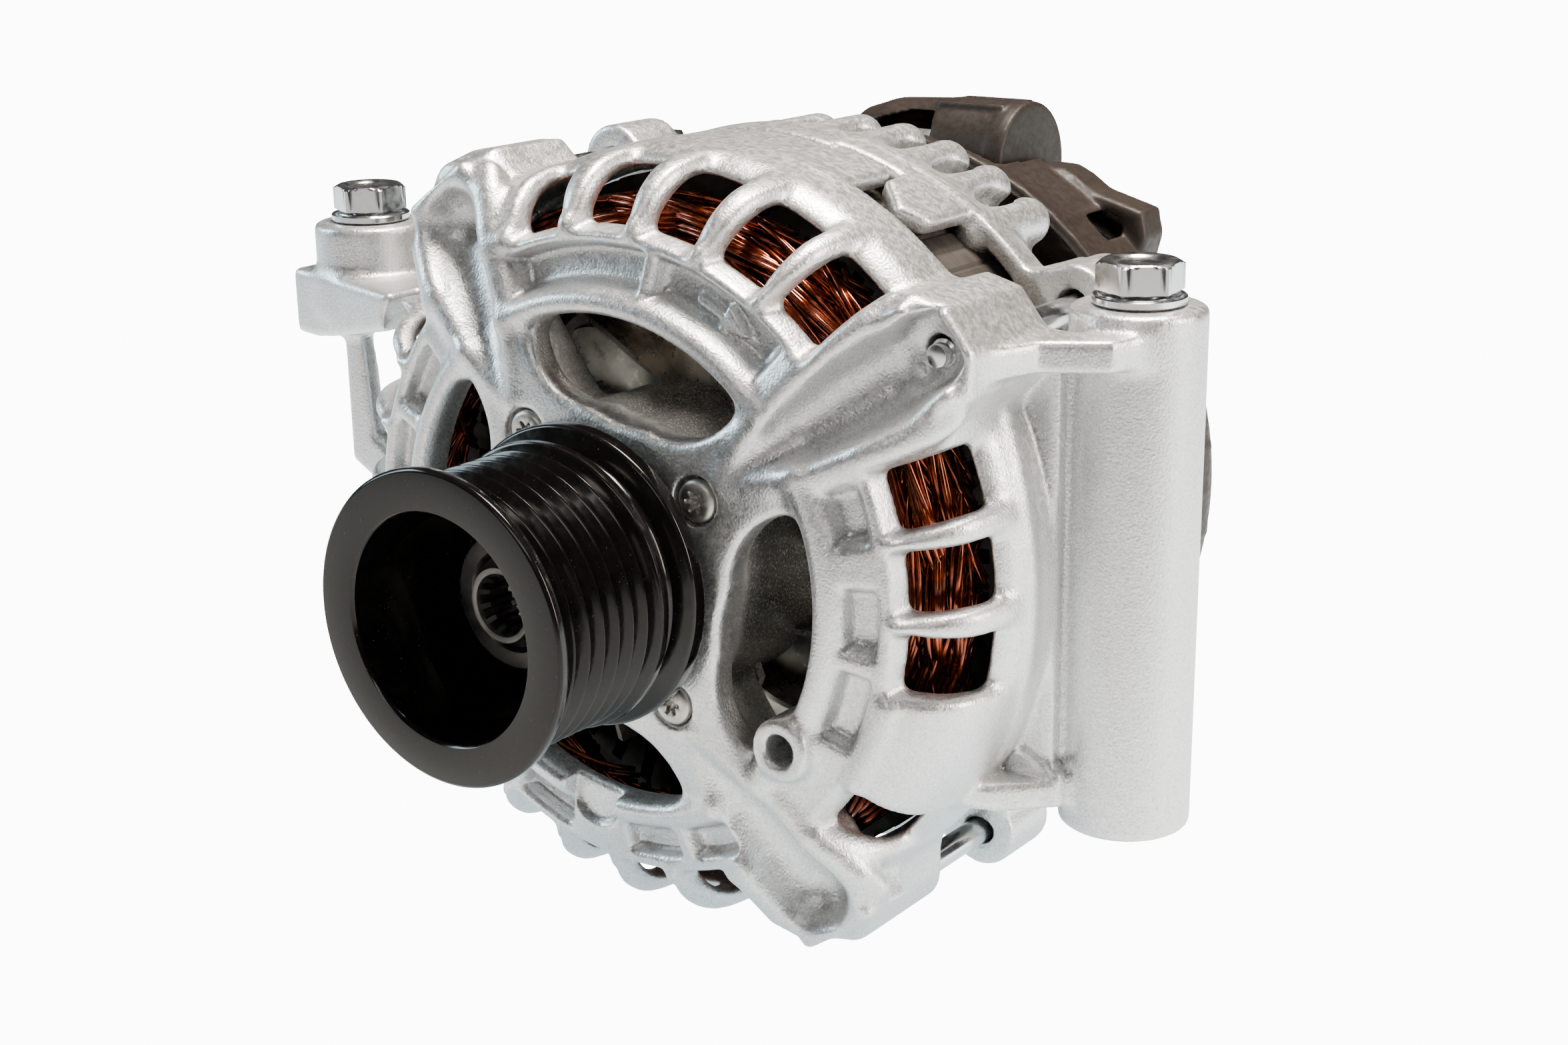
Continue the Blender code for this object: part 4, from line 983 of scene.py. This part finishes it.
class Surface:
    """A procedural material and the wiring of its nodes."""

    def __init__(self, name, colour, metallic, roughness):
        self.mat = bpy.data.materials.new(name)
        self.mat.use_nodes = True
        self.nodes, self.links = self.mat.node_tree.nodes, self.mat.node_tree.links
        self.shader = self.nodes["Principled BSDF"]
        self.colour = opaque(colour)
        self.put({"Base Color": self.colour, "Metallic": metallic, "Roughness": roughness})
        self.place = self.nodes.new("ShaderNodeNewGeometry")
        self.normal = None

    def put(self, values, node=None):
        """Set inputs of a node, or of the shader."""
        for key, value in values.items():
            (node or self.shader).inputs[key].default_value = value

    def node(self, kind, sources, values=None, operation=None):
        """New node with its sources linked and its other inputs set."""
        node = self.nodes.new("ShaderNode" + kind)
        if operation:
            node.operation = operation
        self.put(values or {}, node)
        for key, source in sources.items():
            self.links.new(source, node.inputs[key])
        return node

    def position(self):
        return self.place.outputs["Position"]

    def noise(self, scale, detail=3.0, stretch=None):
        node = self.node("TexNoise", {}, {"Scale": scale, "Detail": detail})
        source = self.position()
        if stretch:
            source = self.node("Mapping", {"Vector": source}, {"Scale": stretch}).outputs["Vector"]
        self.links.new(source, node.inputs["Vector"])
        return node.outputs["Fac"]

    def ramp(self, value, low, high):
        node = self.node("ValToRGB", {"Fac": value})
        for element, place, grey in zip(node.color_ramp.elements, (low, high), (0.0, 1.0)):
            element.position = place
            element.color = opaque((grey, grey, grey))
        return node.outputs["Color"]

    def spread(self, value, low, high, first=0.0, last=1.0):
        limits = {"From Min": low, "From Max": high, "To Min": first, "To Max": last}
        return self.node("MapRange", {"Value": value}, limits).outputs["Result"]

    def tint(self, factor, colour):
        """Blend another colour over the base by a factor."""
        node = self.nodes.new("ShaderNodeMix")
        node.data_type = 'RGBA'
        self.links.new(factor, node.inputs["Factor"])
        base = self.shader.inputs["Base Color"]
        if base.links:
            self.links.new(base.links[0].from_socket, node.inputs["A"])
        else:
            node.inputs["A"].default_value = self.colour
        node.inputs["B"].default_value = opaque(colour)
        self.links.new(node.outputs["Result"], base)

    def rough(self, value):
        self.links.new(value, self.shader.inputs["Roughness"])

    def bump(self, height, strength, distance):
        """Lay a relief over those that are there already."""
        sources = {"Height": height}
        if self.normal is not None:
            sources["Normal"] = self.normal
        node = self.node("Bump", sources, {"Strength": strength, "Distance": distance})
        self.normal = node.outputs["Normal"]
        self.links.new(self.normal, self.shader.inputs["Normal"])

    def pointiness(self, low, high):
        return self.spread(self.place.outputs["Pointiness"], low, high)

    def axes(self):
        return self.node("SeparateXYZ", {0: self.position()}).outputs

    def turn_wave(self, count):
        """Bands that follow the angle round the shaft."""
        split = self.axes()
        x, z = (self.node("Math", {0: split[axis]}, {1: SHAFT[i] * MM}, 'SUBTRACT').outputs[0]
                for axis, i in (("X", 0), ("Z", 2)))
        return self.wave(self.node("Math", {0: z, 1: x}, operation='ARCTAN2').outputs[0], count)

    def inside(self, far, near, front, rear):
        """Mask of the painted shade inside the hub: one close to the shaft and behind a level, nought
        elsewhere.
        """
        flat = self.node("VectorMath", {0: self.position()},
                         {1: (1, 0, 1), 2: (-SHAFT[0] * MM, 0, -SHAFT[2] * MM)}, 'MULTIPLY_ADD')
        size = self.node("VectorMath", {0: flat.outputs[0]}, operation='LENGTH')
        level = self.axes()["Y"]
        both = {0: self.spread(size.outputs["Value"], far, near), 1: self.spread(level, front, rear)}
        return self.node("Math", both, operation='MULTIPLY').outputs[0]

    def along(self, axis, per_metre):
        return self.wave(self.axes()[axis], per_metre)

    def wave(self, value, rate):
        scaled = self.node("Math", {0: value}, {1: rate}, 'MULTIPLY')
        return self.node("Math", {0: scaled.outputs[0]}, operation='SINE').outputs[0]


def cast_aluminium():
    """Shot-blasted die casting: sparkling grain, painted highlight on convex edges, painted shade in
    creases and inside the hub.
    """
    s = Surface("shot_blasted_aluminium", (0.74, 0.745, 0.75), 0.9, 0.4)
    s.tint(s.spread(s.noise(28, 4), 0.4, 0.65, 0.0, 0.22), (0.60, 0.60, 0.60))
    # Painted shade: darker grey in concave creases and corners.
    s.tint(s.pointiness(0.50, 0.44), (0.36, 0.36, 0.365))
    # Painted highlight: lighter grey on convex edges.
    s.tint(s.pointiness(0.53, 0.62), (0.90, 0.90, 0.90))
    s.rough(s.spread(s.noise(900, 2), 0.35, 0.65, 0.33, 0.46))
    # Painted shade: the hub's inside walls made darker by their position.
    s.tint(s.inside(0.031, 0.027, -0.038, -0.036), (0.20, 0.20, 0.20))
    s.tint(s.spread(s.noise(2600, 1), 0.50, 0.80, 0.0, 0.9), (0.97, 0.97, 0.97))
    s.tint(s.spread(s.noise(2300, 1), 0.48, 0.20, 0.0, 0.9), (0.50, 0.50, 0.50))
    s.bump(s.noise(2000, 1), 0.45, 0.0002)
    s.bump(s.noise(260, 3), 0.10, 0.0006)
    return s.mat


def black_coat():
    """Glossy black paint over machined steel, with dust."""
    s = Surface("gloss_black_paint", (0.0035, 0.003, 0.003), 0.0, 0.16)
    s.put({"Specular IOR Level": 0.30, "Coat Weight": 0.12, "Coat Roughness": 0.06})
    s.tint(s.ramp(s.noise(3400, 1), 0.75, 0.80), (0.12, 0.085, 0.055))
    s.rough(s.spread(s.noise(420, 3), 0.3, 0.7, 0.10, 0.24))
    s.bump(s.noise(900, 2), 0.05, 0.0001)
    return s.mat


def copper_wire():
    s = Surface("enamelled_copper", (0.40, 0.088, 0.024), 1.0, 0.2)
    s.put({"Coat Weight": 0.8, "Coat Roughness": 0.08, "Coat Tint": opaque((1.0, 0.78, 0.6))})
    s.tint(s.spread(s.noise(420, 2, (1.0, 1.0, 1.0)), 0.36, 0.60, 0.0, 0.85), (0.11, 0.020, 0.007))
    s.tint(s.ramp(s.noise(60, 2), 0.45, 0.75), (0.30, 0.06, 0.016))
    s.rough(s.spread(s.noise(300, 2), 0.3, 0.7, 0.14, 0.30))
    s.bump(s.noise(700, 2), 0.15, 0.0002)
    return s.mat


def laminations():
    slots, sheet = 48, 0.0005
    s = Surface("core_sheets", (0.050, 0.043, 0.038), 0.4, 0.5)
    s.tint(s.spread(s.turn_wave(slots), -0.2, 0.2, 0.0, 0.5), (0.028, 0.024, 0.021))
    s.tint(s.spread(s.noise(90, 4, (1, 6, 1)), 0.4, 0.7, 0.0, 0.6), (0.080, 0.067, 0.056))
    s.rough(s.spread(s.noise(200, 3, (1, 8, 1)), 0.3, 0.7, 0.38, 0.62))
    s.bump(s.along("Y", math.tau / sheet), 0.25, 0.00008)
    return s.mat


def bare_steel(name, colour, roughness, stain):
    """Plain metal or carbon with soft stains."""
    s = Surface(name, colour, 1.0, roughness)
    s.tint(s.spread(s.noise(210, 4), 0.42, 0.72, 0.0, 0.5), stain)
    s.rough(s.spread(s.noise(500, 3), 0.3, 0.7, roughness - 0.06, roughness + 0.10))
    s.bump(s.noise(1300, 2), 0.06, 0.0001)
    return s.mat


def moulded_plastic():
    s = Surface("moulded_plastic", (0.016, 0.011, 0.009), 0.0, 0.5)
    s.put({"Specular IOR Level": 0.28})
    s.tint(s.spread(s.noise(40, 4), 0.4, 0.7, 0.0, 0.7), (0.028, 0.020, 0.016))
    # Painted highlight: lighter on convex edges.
    s.tint(s.pointiness(0.53, 0.66), (0.05, 0.039, 0.034))
    s.rough(s.spread(s.noise(700, 2), 0.3, 0.7, 0.40, 0.58))
    s.bump(s.noise(1500, 2), 0.22, 0.00012)
    return s.mat


CAST = cast_aluminium()
BLACK = black_coat()
COPPER = copper_wire()
SHEETS = laminations()
ZINC = bare_steel("bright_zinc", (0.78, 0.79, 0.80), 0.18, (0.66, 0.67, 0.68))
STEEL = bare_steel("bare_steel", (0.26, 0.25, 0.24), 0.32, (0.16, 0.15, 0.13))
DARK_STEEL = bare_steel("dark_steel", (0.16, 0.155, 0.15), 0.34, (0.07, 0.065, 0.06))
FAN_STEEL = bare_steel("pressed_sheet_steel", (0.38, 0.36, 0.32), 0.30, (0.12, 0.11, 0.09))
PLASTIC = moulded_plastic()
BEARING = bare_steel("bearing_steel", (0.66, 0.66, 0.66), 0.16, (0.50, 0.50, 0.50))
RING_COPPER = bare_steel("slip_ring_copper", (0.80, 0.38, 0.20), 0.22, (0.50, 0.22, 0.12))
SCREW_STEEL = bare_steel("screw_steel", (0.56, 0.54, 0.51), 0.42, (0.42, 0.40, 0.37))
CARBON = bare_steel("brush_carbon", (0.05, 0.05, 0.052), 0.5, (0.03, 0.03, 0.03))
HEAT_SINK = bare_steel("heat_sink_aluminium", (0.66, 0.67, 0.68), 0.38, (0.5, 0.5, 0.5))


# ------------------------------------------------------------------ putting the pieces in

def wear(obj, mat):
    obj.data.materials.clear()
    obj.data.materials.append(mat)


def dress(obj, mat, body, cad_nodes):
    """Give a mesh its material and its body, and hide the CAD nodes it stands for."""
    wear(obj, mat)
    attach(obj, body)
    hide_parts(*cad_nodes)


# CAD nodes that keep their mesh
for mat, names in (
        (STEEL, ("rotor_claw_front", "rotor_claw_rear", "pulley_spacer")),
        (BEARING, [end + "_bearing_" + part for end in ("front", "rear")
                   for part in ("outer_ring", "inner_ring", "ball_cage")]),
        (ZINC, ("bearing_retainer_plate", "battery_stud", "battery_nut", "connector_pin_1",
                "connector_pin_2", "connector_pin_3")),
        (BEARING, ("brush_spring_1", "brush_spring_2")),
        (RING_COPPER, ("slip_ring_inner", "slip_ring_outer")),
        (COPPER, ("field_coil",)),
        (PLASTIC, ("slip_ring_hub", "brush_holder")),
        (CARBON, ("brush_1", "brush_2")),
        (HEAT_SINK, ("negative_heat_sink", "positive_heat_sink"))):
    for name in names:
        wear(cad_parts[name], mat)

dress(drive_end_shield(STEP), CAST, "housing", ["drive_end_shield"])
dress(slip_ring_end_shield(STEP), CAST, "housing", ["slip_ring_end_shield"])
dress(rear_cover(max(STEP, 0.7)), PLASTIC, "housing", ["rear_cover"])
dress(connector(0.45), PLASTIC, "housing", ["connector_housing"])
dress(stator_core(), SHEETS, "housing", ["stator_core"])
for end, root, crown, seed in (("front", 72.0, 55.2, 11), ("rear", 101.0, 116.2, 23)):
    dress(winding(end + "_coil_ends", root, crown, seed), COPPER, "housing", ["winding_" + end])
dress(pulley(), BLACK, "rotor", ["pulley"])
dress(pulley_nut(), DARK_STEEL, "rotor", ["pulley_nut"])
dress(shaft(), DARK_STEEL, "rotor", ["rotor_shaft"])
for end, disc_y, forward, seed in (("front_fan", 69.7, 1, 5), ("rear_fan", 103.3, -1, 7)):
    dress(fan(end, disc_y, forward, seed), FAN_STEEL, "rotor", [end])
for number, degrees in enumerate(SPOKES, start=1):
    dress(star_screw("star_screw_%d" % number, degrees - 0.5), SCREW_STEEL, "housing",
          ["retainer_screw_%d" % number])
    dress(through_bolt("case_bolt_%d" % number, degrees - 0.5), ZINC, "housing",
          ["through_bolt_%d" % number])
for side, axis, length in (("right", TUBE, 85.0), ("left", LUG, 20.0)):
    bolt, washer = mounting_bolt(side, axis, length)
    dress(bolt, ZINC, "housing", ["mounting_bolt_" + side])
    dress(washer, ZINC, "housing", ["mounting_washer_" + side])


# ------------------------------------------------------------------ stage, light and camera

BACKDROP = 12.0     # strength of the white behind the object


def seen_or_lit(nodes, links, output, seen, lit):
    """White where it is looked at, softer where it lights the object."""
    path = nodes.new("ShaderNodeLightPath")
    mix = nodes.new("ShaderNodeMixShader")
    links.new(path.outputs["Is Camera Ray"], mix.inputs["Fac"])
    links.new(lit, mix.inputs[1])
    links.new(seen, mix.inputs[2])
    links.new(mix.outputs[0], output)


def studio():
    """White floor and world, and four soft lights."""
    half = 3
    corners = [(-half, -half, 0), (half, -half, 0), (half, half, 0), (-half, half, 0)]
    floor = make_mesh("floor", np.array(corners, float), np.array([[0, 1, 2, 3]]), False)
    s = Surface("floor_white", (0.55, 0.56, 0.57), 0.0, 0.8)
    s.put({"Emission Color": opaque((0.80, 0.96, 1.0))})
    s.links.new(s.spread(s.axes()["Y"], -0.17, 0.0, 0.04, 1.35), s.shader.inputs["Emission Strength"])
    glow = s.node("Emission", {}, {"Strength": BACKDROP})
    seen_or_lit(s.nodes, s.links, s.nodes["Material Output"].inputs["Surface"], glow.outputs[0],
                s.shader.outputs[0])
    floor.data.materials.append(s.mat)
    world = bpy.data.worlds.new("studio_white")
    world.use_nodes = True
    nodes, links = world.node_tree.nodes, world.node_tree.links
    lit, seen = nodes["Background"], nodes.new("ShaderNodeBackground")
    for node, strength in ((lit, 0.055), (seen, BACKDROP)):
        node.inputs["Color"].default_value = opaque((1.0, 1.0, 1.0))
        node.inputs["Strength"].default_value = strength
    seen_or_lit(nodes, links, nodes["World Output"].inputs["Surface"], seen.outputs[0], lit.outputs[0])
    bpy.context.scene.world = world
    softbox("top_softbox", (0.1, 0.1, 1.0), (0, 0, 0.05), (0.36, 0.36), 30, (1.0, 0.91, 0.80))
    softbox("left_softbox", (-1.2, -0.45, 0.6), (0, 0, 0.07), (0.4, 0.7), 10, (0.72, 0.90, 1.0))
    softbox("right_softbox", (1.1, 0.25, 0.5), (0, 0, 0.07), (0.3, 0.7), 15, (1.0, 0.90, 0.80))
    softbox("front_strip", (0.35, -1.2, 1.0), (0, 0, 0.07), (0.9, 0.25), 3, (1.0, 0.95, 0.90))


def softbox(name, place, target, size, power, colour):
    light = bpy.data.lights.new(name, 'AREA')
    light.shape = 'RECTANGLE'
    light.size, light.size_y = size
    light.energy = power
    light.color = colour
    obj = add_object(name, light)
    obj.location = place
    obj.rotation_euler = (Vector(target) - Vector(place)).to_track_quat('-Z', 'Y').to_euler()


def camera():
    """The fitted view, seen from the front, the right and above."""
    azimuth, elevation, roll = (math.radians(a) for a in (36.8, 17.1, -0.85))
    distance, aside, above = 367.3, 56.26, 17.56        # millimetres from the pulley's face
    focal, width = 3408.0, 2352.0                       # only their ratio counts
    back = Vector((math.sin(azimuth) * math.cos(elevation), -math.cos(azimuth) * math.cos(elevation),
                   math.sin(elevation)))
    right = Vector((math.cos(azimuth), math.sin(azimuth), 0.0))
    up = back.cross(right)
    side = math.cos(roll) * right + math.sin(roll) * up
    top = -math.sin(roll) * right + math.cos(roll) * up
    data = bpy.data.cameras.new("camera")
    data.sensor_width = 36.0
    data.lens = focal / width * 36.0
    data.clip_start = 0.01
    obj = add_object("camera", data)
    place = Vector(to_row(distance * back + aside * side + above * top))
    obj.matrix_world = Matrix.Translation(place) @ Matrix((side, top, back)).transposed().to_4x4()
    bpy.context.scene.camera = obj


studio()
camera()
